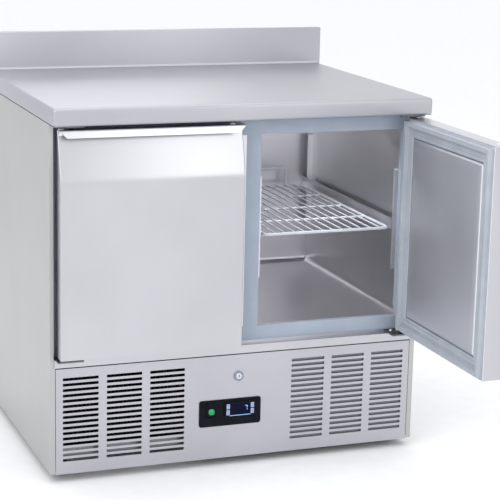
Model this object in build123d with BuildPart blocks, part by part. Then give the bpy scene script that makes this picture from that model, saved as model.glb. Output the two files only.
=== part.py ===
"""Two-door undercounter refrigerator, in millimetres.

+Z is up, the doors face -Y, +X is to the right of someone who faces the doors. The origin is on
the floor, under the middle of the worktop. The left door is closed and the right door stands open.
"""
import math
import os

from build123d import *

os.makedirs("parts", exist_ok=True)

# ---------------------------------------------------------------- driving dimensions
WIDTH = 900.0  # worktop, side to side
DEPTH = 700.0  # worktop, front to back
WORKTOP_H = 860.0  # floor to the worktop's surface
WORKTOP_T = 40.0
UPSTAND_H = 95.0
UPSTAND_T = 18.0
TOP_SHEET = 1.2
SHEET = 1.0
EDGE_R = 7.0  # rolled edges of the worktop
TOP_FLANGE = 75.0  # the worktop sheet's return under its edges

SIDE_INSET = 1.0  # cabinet side behind the worktop's end
BACK_INSET = 5.0
FACE_SETBACK = 40.0  # worktop front to the plane of the rail and the lower panel
DOOR_SETBACK = 2.0  # worktop front to the door's face
PANEL_GAP = 20.0  # floor to the lower edge of the front panel
SIDE_RETURN = 9.0  # side panel's front return beside the doors
LOWER_RETURN = 12.0  # and beside the lower panel

RAIL_TOP = 290.0
RAIL_BOTTOM = 271.0
RAIL_HEM = 5.0  # the rail's rear edge, turned up in front of the frame's foot
FOAM_BOTTOM = 290.3
FRAME_T = 10.0
OPENING_LOW = 328.0
OPENING_DROP = 41.0  # worktop's underside to the top of the openings
OPENING_IN = 52.0  # centre line to an opening's inner edge
OPENING_SIDE = 43.5  # cabinet side to an opening's outer edge
STRIP_HALF = 16.0  # half of the steel strip between the two openings
FRAME_LIP = 4.0
LIP_T = 2.0

LINER_SIDE = 9.5  # the cavity's side wall, outside the opening's edge
LINER_STEP = 1.0  # the cavity's floor, above the opening's lower edge
LINER_OVER = 3.0  # the cavity's ceiling, above the opening's upper edge
WALL_BACK = 37.0  # cabinet back to the cavity's rear wall
COVE_R = 14.0
POST_HALF = 49.7
POST_D = 50.0

DOOR_LOW = 298.0
DOOR_CLEAR = 8.0  # worktop's underside to the door's top
DOOR_RAKE = 112.0  # height of the part of the face that leans back
DOOR_LEAN = 29.0
DOOR_T = 48.0  # face to inner panel
DOOR_IN = 8.0  # centre line to the door's free edge
DOOR_SIDE = 16.0  # cabinet side to the door's hinged edge
SEAL_D = 12.0  # inner panel to the breaker frame's face
GASKET_INSET = 4.0
GASKET_W = 38.0
GASKET_FLANGE = 4.0
GASKET_BULB = 12.0
GASKET_GAP = 0.3
GRIP_DROP = 17.0
GRIP_FLARE = 4.0
GRIP_T = 1.2
OPEN_ANGLE = 90.0

PIN_INSET = 7.5  # door's hinged edge to the hinge axis
PIN_SETBACK = 26.0  # worktop front to the hinge axis
PIN_R = 3.0
RUNNING = 0.05  # radial clearance of a pin in its bush
FIT = 0.1  # radial clearance of a piece pressed or laid into a hole
BUSH_R = 4.5
BUSH_L = 14.0
COLLAR_R = 6.5
COLLAR_T = 1.5
PLUG_IN = 25.0  # free edge to the spare hinge plug
HINGE_T = 3.7
SCREW_R = 2.5
SCREW_HEAD_R = 4.8
SCREW_HEAD_T = 2.6
SCREW_FIRST = 17.5  # hinge axis to the nearer screw
SCREW_PITCH = 18.0
BRACKET_IN = 12.0  # farther screw to the bracket's end
BRACKET_OUT = 11.5  # hinge axis to the bracket's other end

UPRIGHT_FOOT = 107.0  # cavity floor to the uprights' lower ends
UPRIGHT_HEAD = 106.0  # cavity ceiling to their upper ends
UPRIGHT_D = 32.0
UPRIGHT_FLANGE = 14.0
UPRIGHT_HOLES = 5
UPRIGHT_END = 16.0  # an upright's end to its last hole
UPRIGHT_FRONT_SETBACK = 88.0
SHELF_SINK = 15.0  # uprights' middle down to the centre of the shelf's rim
SHELF_SPARE = 33.5  # an opening's width less the shelf's
SHELF_REAR = 28.0  # shelf to the cavity's rear wall
RIM_R = 3.5
WIRE_R = 1.8
CROSS_R = 2.8
SHELF_WIRES = 12
SHELF_CROSS = 3
STOP_IN = 44.0  # shelf's side to the stop's
STOP_H = 49.0
RUNNER_T = 1.2
RUNNER_W = 17.0

SLOT_ROWS = 16
SLOT_PITCH = 12.7
SLOT_H = 6.8
SLOT_COLUMNS = 3
SLOT_GAP = 19.2
SLOT_MARGIN = 16.4  # last slot to the panel's end
SLOT_FIRST = 132.0  # centre line to the nearest slot
SLOT_TOP = 247.0
PANEL_FLANGE = 12.0
PANEL_CLEAR = 1.2
PIVOT_Z = 28.0
PIVOT_IN = 7.0

PLATE_X = -20.0
PLATE_Z = 131.0
PLATE_W = 152.0
PLATE_H = 64.0
PLATE_T = 2.0
CONTROL_Z = 138.0  # switch and controller centre
SWITCH_X = -68.0
SWITCH_W = 26.0
SWITCH_H = 36.0
ROCKER_W = 20.0
ROCKER_H = 27.6
ROCKER_TILT = 7.0
CONTROLLER_X = 4.0
CONTROLLER_W = 78.0
CONTROLLER_H = 35.0
CONTROLLER_D = 55.0
BEZEL_T = 3.0
SCREEN_W = 48.0
SCREEN_H = 26.0
KEY_X = 30.0  # controller centre to the keys on either side
KEY_W = 8.0
KEY_H = 12.0
KEY_PITCH = 14.5
KEY_TRAVEL = 0.8
KEY_GAP = 0.2
LOCK_Z = 217.0
LOCK_R = 9.3
LOCK_RING_R = 12.0
PLUG_R = 7.0
CAM_L = 60.0  # lock axis to the end of its cam
CAM_W = 14.0
INLET_X = 330.0
INLET_RISE = 36.0  # base pan to the cord inlet's axis
INLET_R = 9.0

PAN_T = 1.5
PAN_LIP = 20.0
CASTOR_INSET = 40.0  # cabinet side to the castors' middle
CASTOR_FRONT = 88.0  # worktop front to the front swivel axis
CASTOR_REAR = 80.0
WHEEL_R = 18.0
WHEEL_W = 16.0
WHEEL_GAP = 1.0
FORK_T = 2.0
TRAIL = 16.0
AXLE_R = 3.0
MOUNT_T = 2.5
RACE_R = 16.0
RACE_CLEAR = 9.0  # top of a wheel to the swivel race
RACE_H = 9.0  # swivel race and its plate
KINGPIN_R = 4.0

COMPRESSOR_X = 60.0
COMPRESSOR_BACK = 220.0  # worktop's rear to the compressor's axis
COMPRESSOR_R = 75.0
COMPRESSOR_H = 150.0
CONDENSER_SIDE = 33.0  # inside of the side sheet to the condenser
CONDENSER_END = -140.0
CONDENSER_FRONT = 40.0  # lower panel to the condenser
CONDENSER_D = 55.0
DUCT_D = 38.0
CONDENSER_TOP = 245.0
CONDENSER_FAN = (-280.0, 150.0)
CONDENSER_FAN_R = 75.0
EVAPORATOR_FAN_DROP = 142.0  # cavity ceiling to the fan's axis
EVAPORATOR_FAN_R = 40.0
COLUMN_D = 70.0
SUCTION_X = 20.0
LIQUID_X = -60.0
PIPE_BACK = 115.0  # worktop's rear to the pipes that rise into the cabinet
TRAY_W = 200.0
TRAY_D = 160.0
SUCTION_R = 4.0
SHAFT_R = 2.5
LIQUID_R = 3.2

# ---------------------------------------------------------------- derived planes
FRONT = -DEPTH / 2
BACK = DEPTH / 2
BODY_X = WIDTH / 2 - SIDE_INSET
BODY_BACK = BACK - BACK_INSET
BODY_TOP = WORKTOP_H - WORKTOP_T
INNER_X = BODY_X - SHEET
FACE_Y = FRONT + FACE_SETBACK
DOOR_Y = FRONT + DOOR_SETBACK
DOOR_BACK = DOOR_Y + DOOR_T
FRAME_Y = DOOR_BACK + SEAL_D
FRAME_BACK = FRAME_Y + FRAME_T
OPENING_HIGH = BODY_TOP - OPENING_DROP
OPENING_OUT = BODY_X - OPENING_SIDE
LINER_X = OPENING_OUT + LINER_SIDE
LINER_FLOOR = OPENING_LOW + LINER_STEP
LINER_CEILING = OPENING_HIGH + LINER_OVER
LINER_BACK = BODY_BACK - WALL_BACK
DOOR_HIGH = BODY_TOP - DOOR_CLEAR
DOOR_FOLD = DOOR_HIGH - DOOR_RAKE
DOOR_OUT = BODY_X - DOOR_SIDE
PIN_X = DOOR_OUT - PIN_INSET
PIN_Y = FRONT + PIN_SETBACK
POST_BACK = FRAME_BACK + POST_D
RAIL_X = BODY_X - SIDE_RETURN - 1
PANEL_X = BODY_X - LOWER_RETURN - PANEL_CLEAR
PANEL_TOP = RAIL_BOTTOM - 2.5
PIVOT_Y = FACE_Y + PIVOT_IN
BAY_TOP = FOAM_BOTTOM - 6.0
SLOT_COLUMN = (PANEL_X - SLOT_MARGIN - SLOT_FIRST + SLOT_GAP) / SLOT_COLUMNS
SLOT_W = SLOT_COLUMN - SLOT_GAP
SLOT_CENTRES = [SLOT_FIRST + SLOT_W / 2 + n * SLOT_COLUMN for n in range(SLOT_COLUMNS)]
SLOT_MIDDLE = SLOT_TOP - SLOT_H / 2 - (SLOT_ROWS - 1) * SLOT_PITCH / 2
SHELF_W = OPENING_OUT - OPENING_IN - SHELF_SPARE
STOP_W = SHELF_W - 2 * STOP_IN
SHELF_X = OPENING_IN + UPRIGHT_FLANGE + 1.0 + SHELF_W / 2
SHELF_FRONT = FRAME_BACK
SHELF_BACK = LINER_BACK - SHELF_REAR
UPRIGHT_LOW = LINER_FLOOR + UPRIGHT_FOOT
UPRIGHT_HIGH = LINER_CEILING - UPRIGHT_HEAD
UPRIGHT_PITCH = (UPRIGHT_HIGH - UPRIGHT_LOW - 2 * UPRIGHT_END) / (UPRIGHT_HOLES - 1)
SHELF_Z = (UPRIGHT_LOW + UPRIGHT_HIGH) / 2 - SHELF_SINK
UPRIGHT_FRONT_Y = FRONT + UPRIGHT_FRONT_SETBACK
UPRIGHT_REAR_Y = LINER_BACK - UPRIGHT_D
SCREW_Y = FRAME_Y - 12.0
SCREW_XS = (PIN_X - SCREW_FIRST - SCREW_PITCH, PIN_X - SCREW_FIRST)
CONTROLLER_FRONT = FACE_Y - PLATE_T - BEZEL_T
HINGE_AXIS = Axis((PIN_X, PIN_Y, 0), (0, 0, 1))
KEYS = {
    "key_up": (CONTROLLER_X - KEY_X, CONTROL_Z + KEY_PITCH / 2),
    "key_down": (CONTROLLER_X - KEY_X, CONTROL_Z - KEY_PITCH / 2),
    "key_set": (CONTROLLER_X + KEY_X, CONTROL_Z + KEY_PITCH / 2),
    "key_defrost": (CONTROLLER_X + KEY_X, CONTROL_Z - KEY_PITCH / 2),
}
CASTOR_X = BODY_X - CASTOR_INSET
RACE_LOW = 2 * WHEEL_R + RACE_CLEAR
PAN_Z = RACE_LOW + RACE_H
INLET_Z = PAN_Z + INLET_RISE
COMPRESSOR = (COMPRESSOR_X, BACK - COMPRESSOR_BACK)
CONDENSER_X = (-INNER_X + CONDENSER_SIDE, CONDENSER_END)
CONDENSER_Y = (FACE_Y + CONDENSER_FRONT, FACE_Y + CONDENSER_FRONT + CONDENSER_D)
DUCT_BACK = CONDENSER_Y[1] + DUCT_D
EVAPORATOR_FAN_Z = LINER_CEILING - EVAPORATOR_FAN_DROP
PIPE_Y = BACK - PIPE_BACK


def save(part: Part, name: str) -> None:
    """Labels a finished piece and writes it to its own file."""
    part.label = name
    export_step(part, f"parts/{name}.step")


def block(x: tuple, y: tuple, z: tuple, mode: Mode = Mode.ADD) -> None:
    """Adds or cuts a box between two limits on each axis."""
    with Locations(((x[0] + x[1]) / 2, (y[0] + y[1]) / 2, (z[0] + z[1]) / 2)):
        Box(x[1] - x[0], y[1] - y[0], z[1] - z[0], mode=mode)


def rod(start: tuple, end: tuple, radius: float, mode: Mode = Mode.ADD) -> None:
    """Adds or cuts a round bar between two points."""
    run = Vector(*end) - Vector(*start)
    with BuildSketch(Plane(origin=start, z_dir=run)) as section:
        Circle(radius)
    extrude(section.sketch, amount=run.length, mode=mode)


def slots(middle: tuple, columns: int, rows: int, pitch: tuple, size: tuple) -> None:
    """Cuts a grid of slots through a sheet that faces along Y, round a middle given as (x, y, z)."""
    depth = 8 * SHEET
    with BuildSketch(Plane.XZ.offset(-middle[1] - depth / 2)) as openings:
        with Locations((middle[0], middle[2])):
            with GridLocations(pitch[0], pitch[1], columns, rows):
                RectangleRounded(size[0], size[1], 1.2)
    extrude(openings.sketch, amount=depth, mode=Mode.SUBTRACT)


def mirrored(part: Part) -> Part:
    """The same piece on the other side of the centre line."""
    return mirror(part, about=Plane.YZ)


# ---------------------------------------------------------------- worktop
def make_worktop() -> None:
    """Folded sheet: top, edges, underside return and hollow upstand, with its core board inside."""
    t = TOP_SHEET
    screws = [(side * x, SCREW_Y, BODY_TOP + t) for side in (-1, 1) for x in SCREW_XS]

    def slab(inset: float, mode: Mode) -> None:
        with BuildPart(mode=Mode.PRIVATE) as body:
            block((-WIDTH / 2 + inset, WIDTH / 2 - inset), (FRONT + inset, BACK - inset),
                  (BODY_TOP + inset, WORKTOP_H - inset))
            fillet(body.edges().filter_by(Axis.Z).group_by(Axis.Y)[0], EDGE_R - inset)
            rolled = body.faces().sort_by(Axis.Z)[-1].edges().sort_by(Axis.Y)[:-1]
            fillet(rolled, EDGE_R - inset)
        add(body.part, mode=mode)

    with BuildPart() as worktop:
        slab(0.0, Mode.ADD)
        block((-WIDTH / 2, WIDTH / 2), (BACK - UPSTAND_T, BACK), (WORKTOP_H - EDGE_R, WORKTOP_H + UPSTAND_H))
        fillet(worktop.faces().sort_by(Axis.Z)[-1].edges().filter_by(Axis.X), 2.5)
        slab(t, Mode.SUBTRACT)
        block((-WIDTH / 2 + t, WIDTH / 2 - t), (BACK - UPSTAND_T + t, BACK - t),
              (WORKTOP_H - EDGE_R, WORKTOP_H + UPSTAND_H - t - 1), Mode.SUBTRACT)
        block((-WIDTH / 2 + TOP_FLANGE, WIDTH / 2 - TOP_FLANGE), (FRONT + TOP_FLANGE, BACK - TOP_FLANGE),
              (BODY_TOP - 1, BODY_TOP + t + 1), Mode.SUBTRACT)
        with Locations(screws):
            Cylinder(SCREW_R + FIT, 4 * t, mode=Mode.SUBTRACT)
    save(worktop.part, "worktop")

    inset = EDGE_R + 1
    with BuildPart() as worktop_core:
        block((-WIDTH / 2 + inset, WIDTH / 2 - inset), (FRONT + inset, BACK - UPSTAND_T - inset),
              (BODY_TOP + t, WORKTOP_H - t))
        with Locations(screws):
            Cylinder(SCREW_R + FIT, 20, mode=Mode.SUBTRACT)
    save(worktop_core.part, "worktop_core")


# ---------------------------------------------------------------- cabinet shell
def make_side_panels() -> None:
    """Outer side sheets, each with a front return, a return leg to the frame and a pivot stud."""
    with BuildPart() as side_panel:
        block((INNER_X, BODY_X), (FACE_Y, BODY_BACK), (PANEL_GAP + 2, BODY_TOP))
        block((BODY_X - LOWER_RETURN, BODY_X), (FACE_Y, FACE_Y + SHEET), (PANEL_GAP + 2, RAIL_BOTTOM))
        block((BODY_X - SIDE_RETURN, BODY_X), (FACE_Y, FACE_Y + SHEET), (RAIL_BOTTOM, BODY_TOP))
        leg = BODY_X - SIDE_RETURN
        block((leg, leg + SHEET), (FACE_Y, FRAME_Y), (RAIL_BOTTOM, BODY_TOP))
        rod((INNER_X, PIVOT_Y, PIVOT_Z), (PANEL_X - 3, PIVOT_Y, PIVOT_Z), PIN_R)
    save(side_panel.part, "side_panel_right")
    save(mirrored(side_panel.part), "side_panel_left")


def make_back_panels() -> None:
    """Plain sheet behind the insulation, and the slotted cover of the machine bay with its cord inlet."""
    with BuildPart() as back_panel:
        block((-INNER_X, INNER_X), (BODY_BACK - SHEET, BODY_BACK), (BAY_TOP, BODY_TOP))
    save(back_panel.part, "back_panel")

    with BuildPart() as rear_grille:
        block((-INNER_X, INNER_X), (BODY_BACK - SHEET, BODY_BACK), (PANEL_GAP + 6, BAY_TOP))
        for side in (-1, 1):
            slots((side * SLOT_CENTRES[1], BODY_BACK, SLOT_MIDDLE + 2 * SLOT_PITCH), SLOT_COLUMNS, SLOT_ROWS // 2 - 1,
                  (SLOT_COLUMN, SLOT_PITCH), (SLOT_W, SLOT_H))
        rod((INLET_X, BODY_BACK - 5, INLET_Z), (INLET_X, BODY_BACK + 5, INLET_Z), INLET_R + FIT, Mode.SUBTRACT)
    save(rear_grille.part, "rear_grille")

    with BuildPart() as cord_inlet:
        rod((INLET_X, BODY_BACK - 9, INLET_Z), (INLET_X, BODY_BACK, INLET_Z), INLET_R)
        rod((INLET_X, BODY_BACK, INLET_Z), (INLET_X, BODY_BACK + 4, INLET_Z), INLET_R + 3)
        rod((INLET_X, BODY_BACK - 12, INLET_Z), (INLET_X, BODY_BACK + 6, INLET_Z), INLET_R - 5, Mode.SUBTRACT)
    save(cord_inlet.part, "cord_inlet")


def make_foam_and_liner() -> None:
    """Insulation round the cavity, and the coved inner liner that it backs."""
    def cavity(grow: float, mode: Mode) -> None:
        with BuildPart(mode=Mode.PRIVATE) as hollow:
            block((-LINER_X - grow, LINER_X + grow), (FRAME_BACK - 20 - grow, LINER_BACK + grow),
                  (LINER_FLOOR - grow, LINER_CEILING + grow))
            floor = hollow.faces().sort_by(Axis.Z)[0].edges().sort_by(Axis.Y)[1:]
            fillet(floor, COVE_R + grow)
        add(hollow.part, mode=mode)

    with BuildPart() as cabinet_foam:
        block((-INNER_X, INNER_X), (FRAME_BACK, BODY_BACK - SHEET), (FOAM_BOTTOM, BODY_TOP))
        cavity(SHEET, Mode.SUBTRACT)
        for x, radius in ((SUCTION_X, SUCTION_R), (LIQUID_X, LIQUID_R)):
            rod((x, PIPE_Y, FOAM_BOTTOM - 1), (x, PIPE_Y, FOAM_BOTTOM + 25), radius + 2 * FIT, Mode.SUBTRACT)
    save(cabinet_foam.part, "cabinet_foam")

    with BuildPart() as inner_liner:
        cavity(SHEET, Mode.ADD)
        cavity(0.0, Mode.SUBTRACT)
        block((-WIDTH, WIDTH), (FRONT, FRAME_BACK), (0, WORKTOP_H), Mode.SUBTRACT)
    save(inner_liner.part, "inner_liner")


def make_frame() -> None:
    """Plastic breaker frame with a lip into each opening, and the mullion post that shows between."""
    outer_x = BODY_X - SIDE_RETURN - 0.3
    with BuildPart() as breaker_frame:
        block((-outer_x, outer_x), (FRAME_Y, FRAME_BACK), (RAIL_TOP + RAIL_HEM + 0.3, BODY_TOP - 0.3))
        middle = (OPENING_LOW + OPENING_HIGH) / 2
        for side in (-1, 1):
            x = sorted((side * OPENING_IN, side * OPENING_OUT))
            wide = (x[0] - LIP_T + 0.3, x[1] + LIP_T - 0.3)
            block(wide, (FRAME_BACK, FRAME_BACK + FRAME_LIP), (LINER_FLOOR + COVE_R + 1, OPENING_HIGH + LIP_T))
            block(x, (FRAME_Y - 1, FRAME_BACK + 2 * FRAME_LIP), (OPENING_LOW, OPENING_HIGH), Mode.SUBTRACT)
        mouth = breaker_frame.faces().sort_by(Axis.Y)[0].inner_wires().edges()
        fillet(mouth, 2.0)
        with Locations((0, (FRAME_Y + FRAME_BACK) / 2, middle)):
            Box(2 * STRIP_HALF, 2 * FRAME_T, OPENING_HIGH - OPENING_LOW, mode=Mode.SUBTRACT)
    save(breaker_frame.part, "breaker_frame")

    with BuildPart() as mullion_post:
        half = STRIP_HALF - 0.3
        z = (LINER_FLOOR, LINER_CEILING)
        block((-POST_HALF, POST_HALF), (FRAME_BACK + 0.2, POST_BACK), z)
        block((-POST_HALF + SHEET, POST_HALF - SHEET), (FRAME_BACK + SHEET + 0.2, POST_BACK - SHEET),
              (z[0] - 1, z[1] + 1), Mode.SUBTRACT)
        block((-half, half), (FRAME_Y, FRAME_BACK + 1), (LINER_FLOOR, OPENING_HIGH - 0.3))
        block((-half + SHEET, half - SHEET), (FRAME_Y + SHEET, FRAME_BACK + 3),
              (LINER_FLOOR + SHEET, OPENING_HIGH - SHEET - 0.3), Mode.SUBTRACT)
    save(mullion_post.part, "mullion_post")


def make_rail_and_pan() -> None:
    """Channel under the doors, and the folded pan that carries the machine and the castors."""
    with BuildPart() as bottom_rail:
        block((-RAIL_X, RAIL_X), (FACE_Y, FRAME_BACK + 8), (RAIL_BOTTOM, RAIL_TOP))
        block((-RAIL_X - 1, RAIL_X + 1), (FACE_Y + SHEET, FRAME_BACK + 9),
              (RAIL_BOTTOM + SHEET, RAIL_TOP - SHEET), Mode.SUBTRACT)
        block((-RAIL_X - 1, RAIL_X + 1), (FRAME_Y, FRAME_BACK + 9), (RAIL_BOTTOM - 1, RAIL_TOP - 2), Mode.SUBTRACT)
        block((-RAIL_X, RAIL_X), (FRAME_Y, FRAME_Y + SHEET), (RAIL_TOP - SHEET, RAIL_TOP + RAIL_HEM))
        with Locations([(s * x, SCREW_Y, RAIL_TOP) for s in (-1, 1) for x in SCREW_XS]):
            Cylinder(SCREW_R + FIT, 4, mode=Mode.SUBTRACT)
    save(bottom_rail.part, "bottom_rail")

    with BuildPart() as base_pan:
        x, y = INNER_X - 0.2, (PIVOT_Y + 16, BODY_BACK - SHEET - 0.2)
        block((-x, x), y, (PAN_Z, PAN_Z + PAN_LIP))
        block((-x + PAN_T, x - PAN_T), (y[0] + PAN_T, y[1] - PAN_T), (PAN_Z + PAN_T, PAN_Z + PAN_LIP + 1),
              Mode.SUBTRACT)
    save(base_pan.part, "base_pan")


# ---------------------------------------------------------------- hinges
def make_hinges() -> None:
    """Four bracket plates with their pins, and the pan-head screws that hold them."""
    upper_z = BODY_TOP - HINGE_T
    with BuildPart() as hinge_brackets:
        for side in (-1, 1):
            for low, pin in ((upper_z, (upper_z, DOOR_HIGH - BUSH_L + 1)),
                             (RAIL_TOP, (RAIL_TOP + HINGE_T, DOOR_LOW + BUSH_L - 1))):
                x = sorted((side * (SCREW_XS[0] - BRACKET_IN), side * (PIN_X + BRACKET_OUT)))
                block(x, (DOOR_Y + 10, FRAME_Y - 1), (low, low + HINGE_T))
                rod((side * PIN_X, PIN_Y, pin[0]), (side * PIN_X, PIN_Y, pin[1]), PIN_R)
        with Locations([(s * x, SCREW_Y, z) for s in (-1, 1) for x in SCREW_XS for z in (upper_z, RAIL_TOP)]):
            Cylinder(SCREW_R + FIT, 4 * HINGE_T, mode=Mode.SUBTRACT)
    save(hinge_brackets.part, "hinge_brackets")

    with BuildPart() as hinge_screws:
        for side in (-1, 1):
            for x in SCREW_XS:
                rod((side * x, SCREW_Y, upper_z - SCREW_HEAD_T), (side * x, SCREW_Y, upper_z), SCREW_HEAD_R)
                rod((side * x, SCREW_Y, upper_z), (side * x, SCREW_Y, BODY_TOP + 8), SCREW_R)
                top = RAIL_TOP + HINGE_T
                rod((side * x, SCREW_Y, top), (side * x, SCREW_Y, top + SCREW_HEAD_T), SCREW_HEAD_R)
                rod((side * x, SCREW_Y, top), (side * x, SCREW_Y, RAIL_TOP - 8), SCREW_R)
    save(hinge_screws.part, "hinge_screws")


# ---------------------------------------------------------------- doors
def door_profile(inset: float, top: float) -> None:
    """Side outline of the door body, as seen along X: plumb face, then the face that leans back."""
    lean = math.hypot(DOOR_LEAN, DOOR_HIGH - DOOR_FOLD) / (DOOR_HIGH - DOOR_FOLD) * inset
    with BuildLine() as outline:
        Polyline(
            (DOOR_Y + inset, DOOR_LOW + inset),
            (DOOR_Y + inset, DOOR_FOLD),
            (DOOR_Y + DOOR_LEAN + lean, top),
            (DOOR_BACK - SHEET, top),
            (DOOR_BACK - SHEET, DOOR_LOW + inset),
            close=True,
        )
    make_face(outline.edges())


def bush_holes(radius: float) -> None:
    """Cuts the two hinge holes and the two plug holes through a door piece."""
    for x in (PIN_X, DOOR_IN + PLUG_IN):
        rod((x, PIN_Y, DOOR_HIGH + 5), (x, PIN_Y, DOOR_HIGH - BUSH_L), radius, Mode.SUBTRACT)
        rod((x, PIN_Y, DOOR_LOW - 5), (x, PIN_Y, DOOR_LOW + BUSH_L), radius, Mode.SUBTRACT)


def save_pair(part: Part, stem: str) -> None:
    """Writes a piece made for the closed right door: opened on the right, mirrored on the left."""
    save(mirrored(part), f"{stem}_left")
    save(part.rotate(HINGE_AXIS, OPEN_ANGLE), f"{stem}_right")


def make_doors() -> None:
    """Skin, grip rail, foam, inner panel, gasket and bushes of the two doors."""
    side_plane = Plane.YZ.offset(DOOR_IN)
    width = DOOR_OUT - DOOR_IN
    cap_z = DOOR_HIGH - GRIP_T
    with BuildPart() as door_skin:
        with BuildSketch(side_plane):
            door_profile(0.0, cap_z)
        extrude(amount=width)
        with BuildSketch(side_plane.offset(SHEET)):
            door_profile(SHEET, cap_z)
        extrude(amount=width - 2 * SHEET, mode=Mode.SUBTRACT)
        bush_holes(BUSH_R + FIT)
    save_pair(door_skin.part, "door_skin")

    with BuildPart() as door_foam:
        with BuildSketch(side_plane.offset(SHEET)):
            door_profile(SHEET, cap_z)
        extrude(amount=width - 2 * SHEET)
        bush_holes(BUSH_R + FIT)
    save_pair(door_foam.part, "door_foam")

    with BuildPart() as door_grip:
        bend = (DOOR_Y + 5, DOOR_HIGH)
        with BuildSketch(side_plane):
            with BuildLine():
                FilletPolyline((DOOR_BACK - SHEET, DOOR_HIGH), bend, (DOOR_Y + 5 - GRIP_FLARE, DOOR_HIGH - GRIP_DROP),
                               radius=3.5)
                offset(amount=GRIP_T, side=Side.LEFT)
            make_face()
        extrude(amount=width)
        for x, turn in ((DOOR_IN, 1), (DOOR_OUT, -1)):
            with BuildSketch(Plane.XZ.offset(-DOOR_Y - DOOR_LEAN)):
                with BuildLine():
                    Polyline((x, cap_z), (x + turn * (GRIP_DROP + 2), cap_z - GRIP_DROP - 2),
                             (x, cap_z - GRIP_DROP - 2), close=True)
                make_face()
            extrude(amount=2 * DOOR_LEAN, mode=Mode.SUBTRACT)
        bush_holes(BUSH_R + FIT)
    save_pair(door_grip.part, "door_grip")

    with BuildPart() as door_panel:
        block((DOOR_IN, DOOR_OUT), (DOOR_BACK - SHEET, DOOR_BACK), (DOOR_LOW, cap_z))
        fillet(door_panel.edges().filter_by(Axis.Y), 3.0)
    save_pair(door_panel.part, "door_panel")

    make_gasket()
    make_bushes()


def make_gasket() -> None:
    """Magnetic door seal: a flat flange with a square bulb round its outer edge."""
    outer_x = (DOOR_IN + GASKET_INSET, DOOR_OUT - GASKET_INSET)
    outer_z = (DOOR_LOW + GASKET_INSET, DOOR_HIGH - GASKET_INSET)
    face = FRAME_Y - GASKET_GAP

    def ring(edge: float, band: float, y: tuple) -> None:
        with BuildSketch(Plane.XZ.offset(-y[1])) as band_face:
            with Locations((sum(outer_x) / 2, sum(outer_z) / 2)):
                RectangleRounded(outer_x[1] - outer_x[0] - 2 * edge, outer_z[1] - outer_z[0] - 2 * edge, 4)
                Rectangle(outer_x[1] - outer_x[0] - 2 * edge - 2 * band,
                          outer_z[1] - outer_z[0] - 2 * edge - 2 * band, mode=Mode.SUBTRACT)
        extrude(band_face.sketch, amount=y[1] - y[0])

    with BuildPart() as door_gasket:
        ring(0.0, GASKET_W, (DOOR_BACK, DOOR_BACK + GASKET_FLANGE))
        ring(2.0, GASKET_BULB, (DOOR_BACK + GASKET_FLANGE, face))
    save_pair(door_gasket.part, "door_gasket")


def make_bushes() -> None:
    """Collared hinge bushes, and blind plugs in the spare hinge holes at the free edge."""
    with BuildPart() as door_bushes:
        for x in (PIN_X, DOOR_IN + PLUG_IN):
            for edge, turn in ((DOOR_HIGH, 1), (DOOR_LOW, -1)):
                rod((x, PIN_Y, edge), (x, PIN_Y, edge + turn * COLLAR_T), COLLAR_R)
                rod((x, PIN_Y, edge), (x, PIN_Y, edge - turn * (BUSH_L - 0.2)), BUSH_R)
        for edge, turn in ((DOOR_HIGH, 1), (DOOR_LOW, -1)):
            rod((PIN_X, PIN_Y, edge + turn * 3), (PIN_X, PIN_Y, edge - turn * (BUSH_L - 0.6)),
                PIN_R + RUNNING, Mode.SUBTRACT)
    save_pair(door_bushes.part, "door_bushes")


# ---------------------------------------------------------------- inside the cavity
def upright(x: float, toward: int, y: float, flange_y: float) -> None:
    """One slotted L-shaped upright whose web lies against a wall at x and whose flange points inward."""
    web = sorted((x, x + toward * SHEET))
    block(web, (y, y + UPRIGHT_D), (UPRIGHT_LOW, UPRIGHT_HIGH))
    block(sorted((x, x + toward * UPRIGHT_FLANGE)), (flange_y, flange_y + SHEET), (UPRIGHT_LOW, UPRIGHT_HIGH))
    middle = (UPRIGHT_LOW + UPRIGHT_HIGH) / 2
    for n in range(UPRIGHT_HOLES):
        z = middle + (n - (UPRIGHT_HOLES - 1) / 2) * UPRIGHT_PITCH
        block((x - 5, x + 5), (y + UPRIGHT_D / 2 - 2, y + UPRIGHT_D / 2 + 2), (z - 5, z + 5), Mode.SUBTRACT)


def make_uprights_and_runners() -> None:
    """Eight slotted uprights, and four L-shaped runners hooked to them."""
    rear = UPRIGHT_REAR_Y
    with BuildPart() as shelf_uprights:
        for side in (-1, 1):
            upright(side * LINER_X, -side, UPRIGHT_FRONT_Y, UPRIGHT_FRONT_Y)
            upright(side * LINER_X, -side, rear, rear)
            upright(side * POST_HALF, side, UPRIGHT_FRONT_Y, UPRIGHT_FRONT_Y)
            upright(side * POST_HALF, side, rear, rear)
    save(shelf_uprights.part, "shelf_uprights")

    low = SHELF_Z - RIM_R - RUNNER_T - 0.3
    hooks = (UPRIGHT_FRONT_Y + SHEET, rear + SHEET)
    with BuildPart() as shelf_runners:
        for side in (-1, 1):
            for wall, turn in ((LINER_X, -1), (POST_HALF, 1)):
                near = wall + turn * (UPRIGHT_FLANGE + 0.2)
                leg = sorted((side * near, side * (near + turn * RUNNER_T)))
                foot = sorted((side * near, side * (near + turn * RUNNER_W)))
                y = (UPRIGHT_FRONT_Y, LINER_BACK - 1)
                block(leg, y, (low, low + 24))
                block(foot, y, (low, low + RUNNER_T))
                for hook in hooks:
                    tab = sorted((side * near, side * (wall + turn * SHEET)))
                    block(tab, (hook, hook + 8), (low, low + 14))
    save(shelf_runners.part, "shelf_runners")


def make_shelves() -> None:
    """The two loose shelves, one in each compartment."""
    for name, middle in (("shelf_left", -SHELF_X), ("shelf_right", SHELF_X)):
        save(wire_shelf(middle), name)


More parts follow.
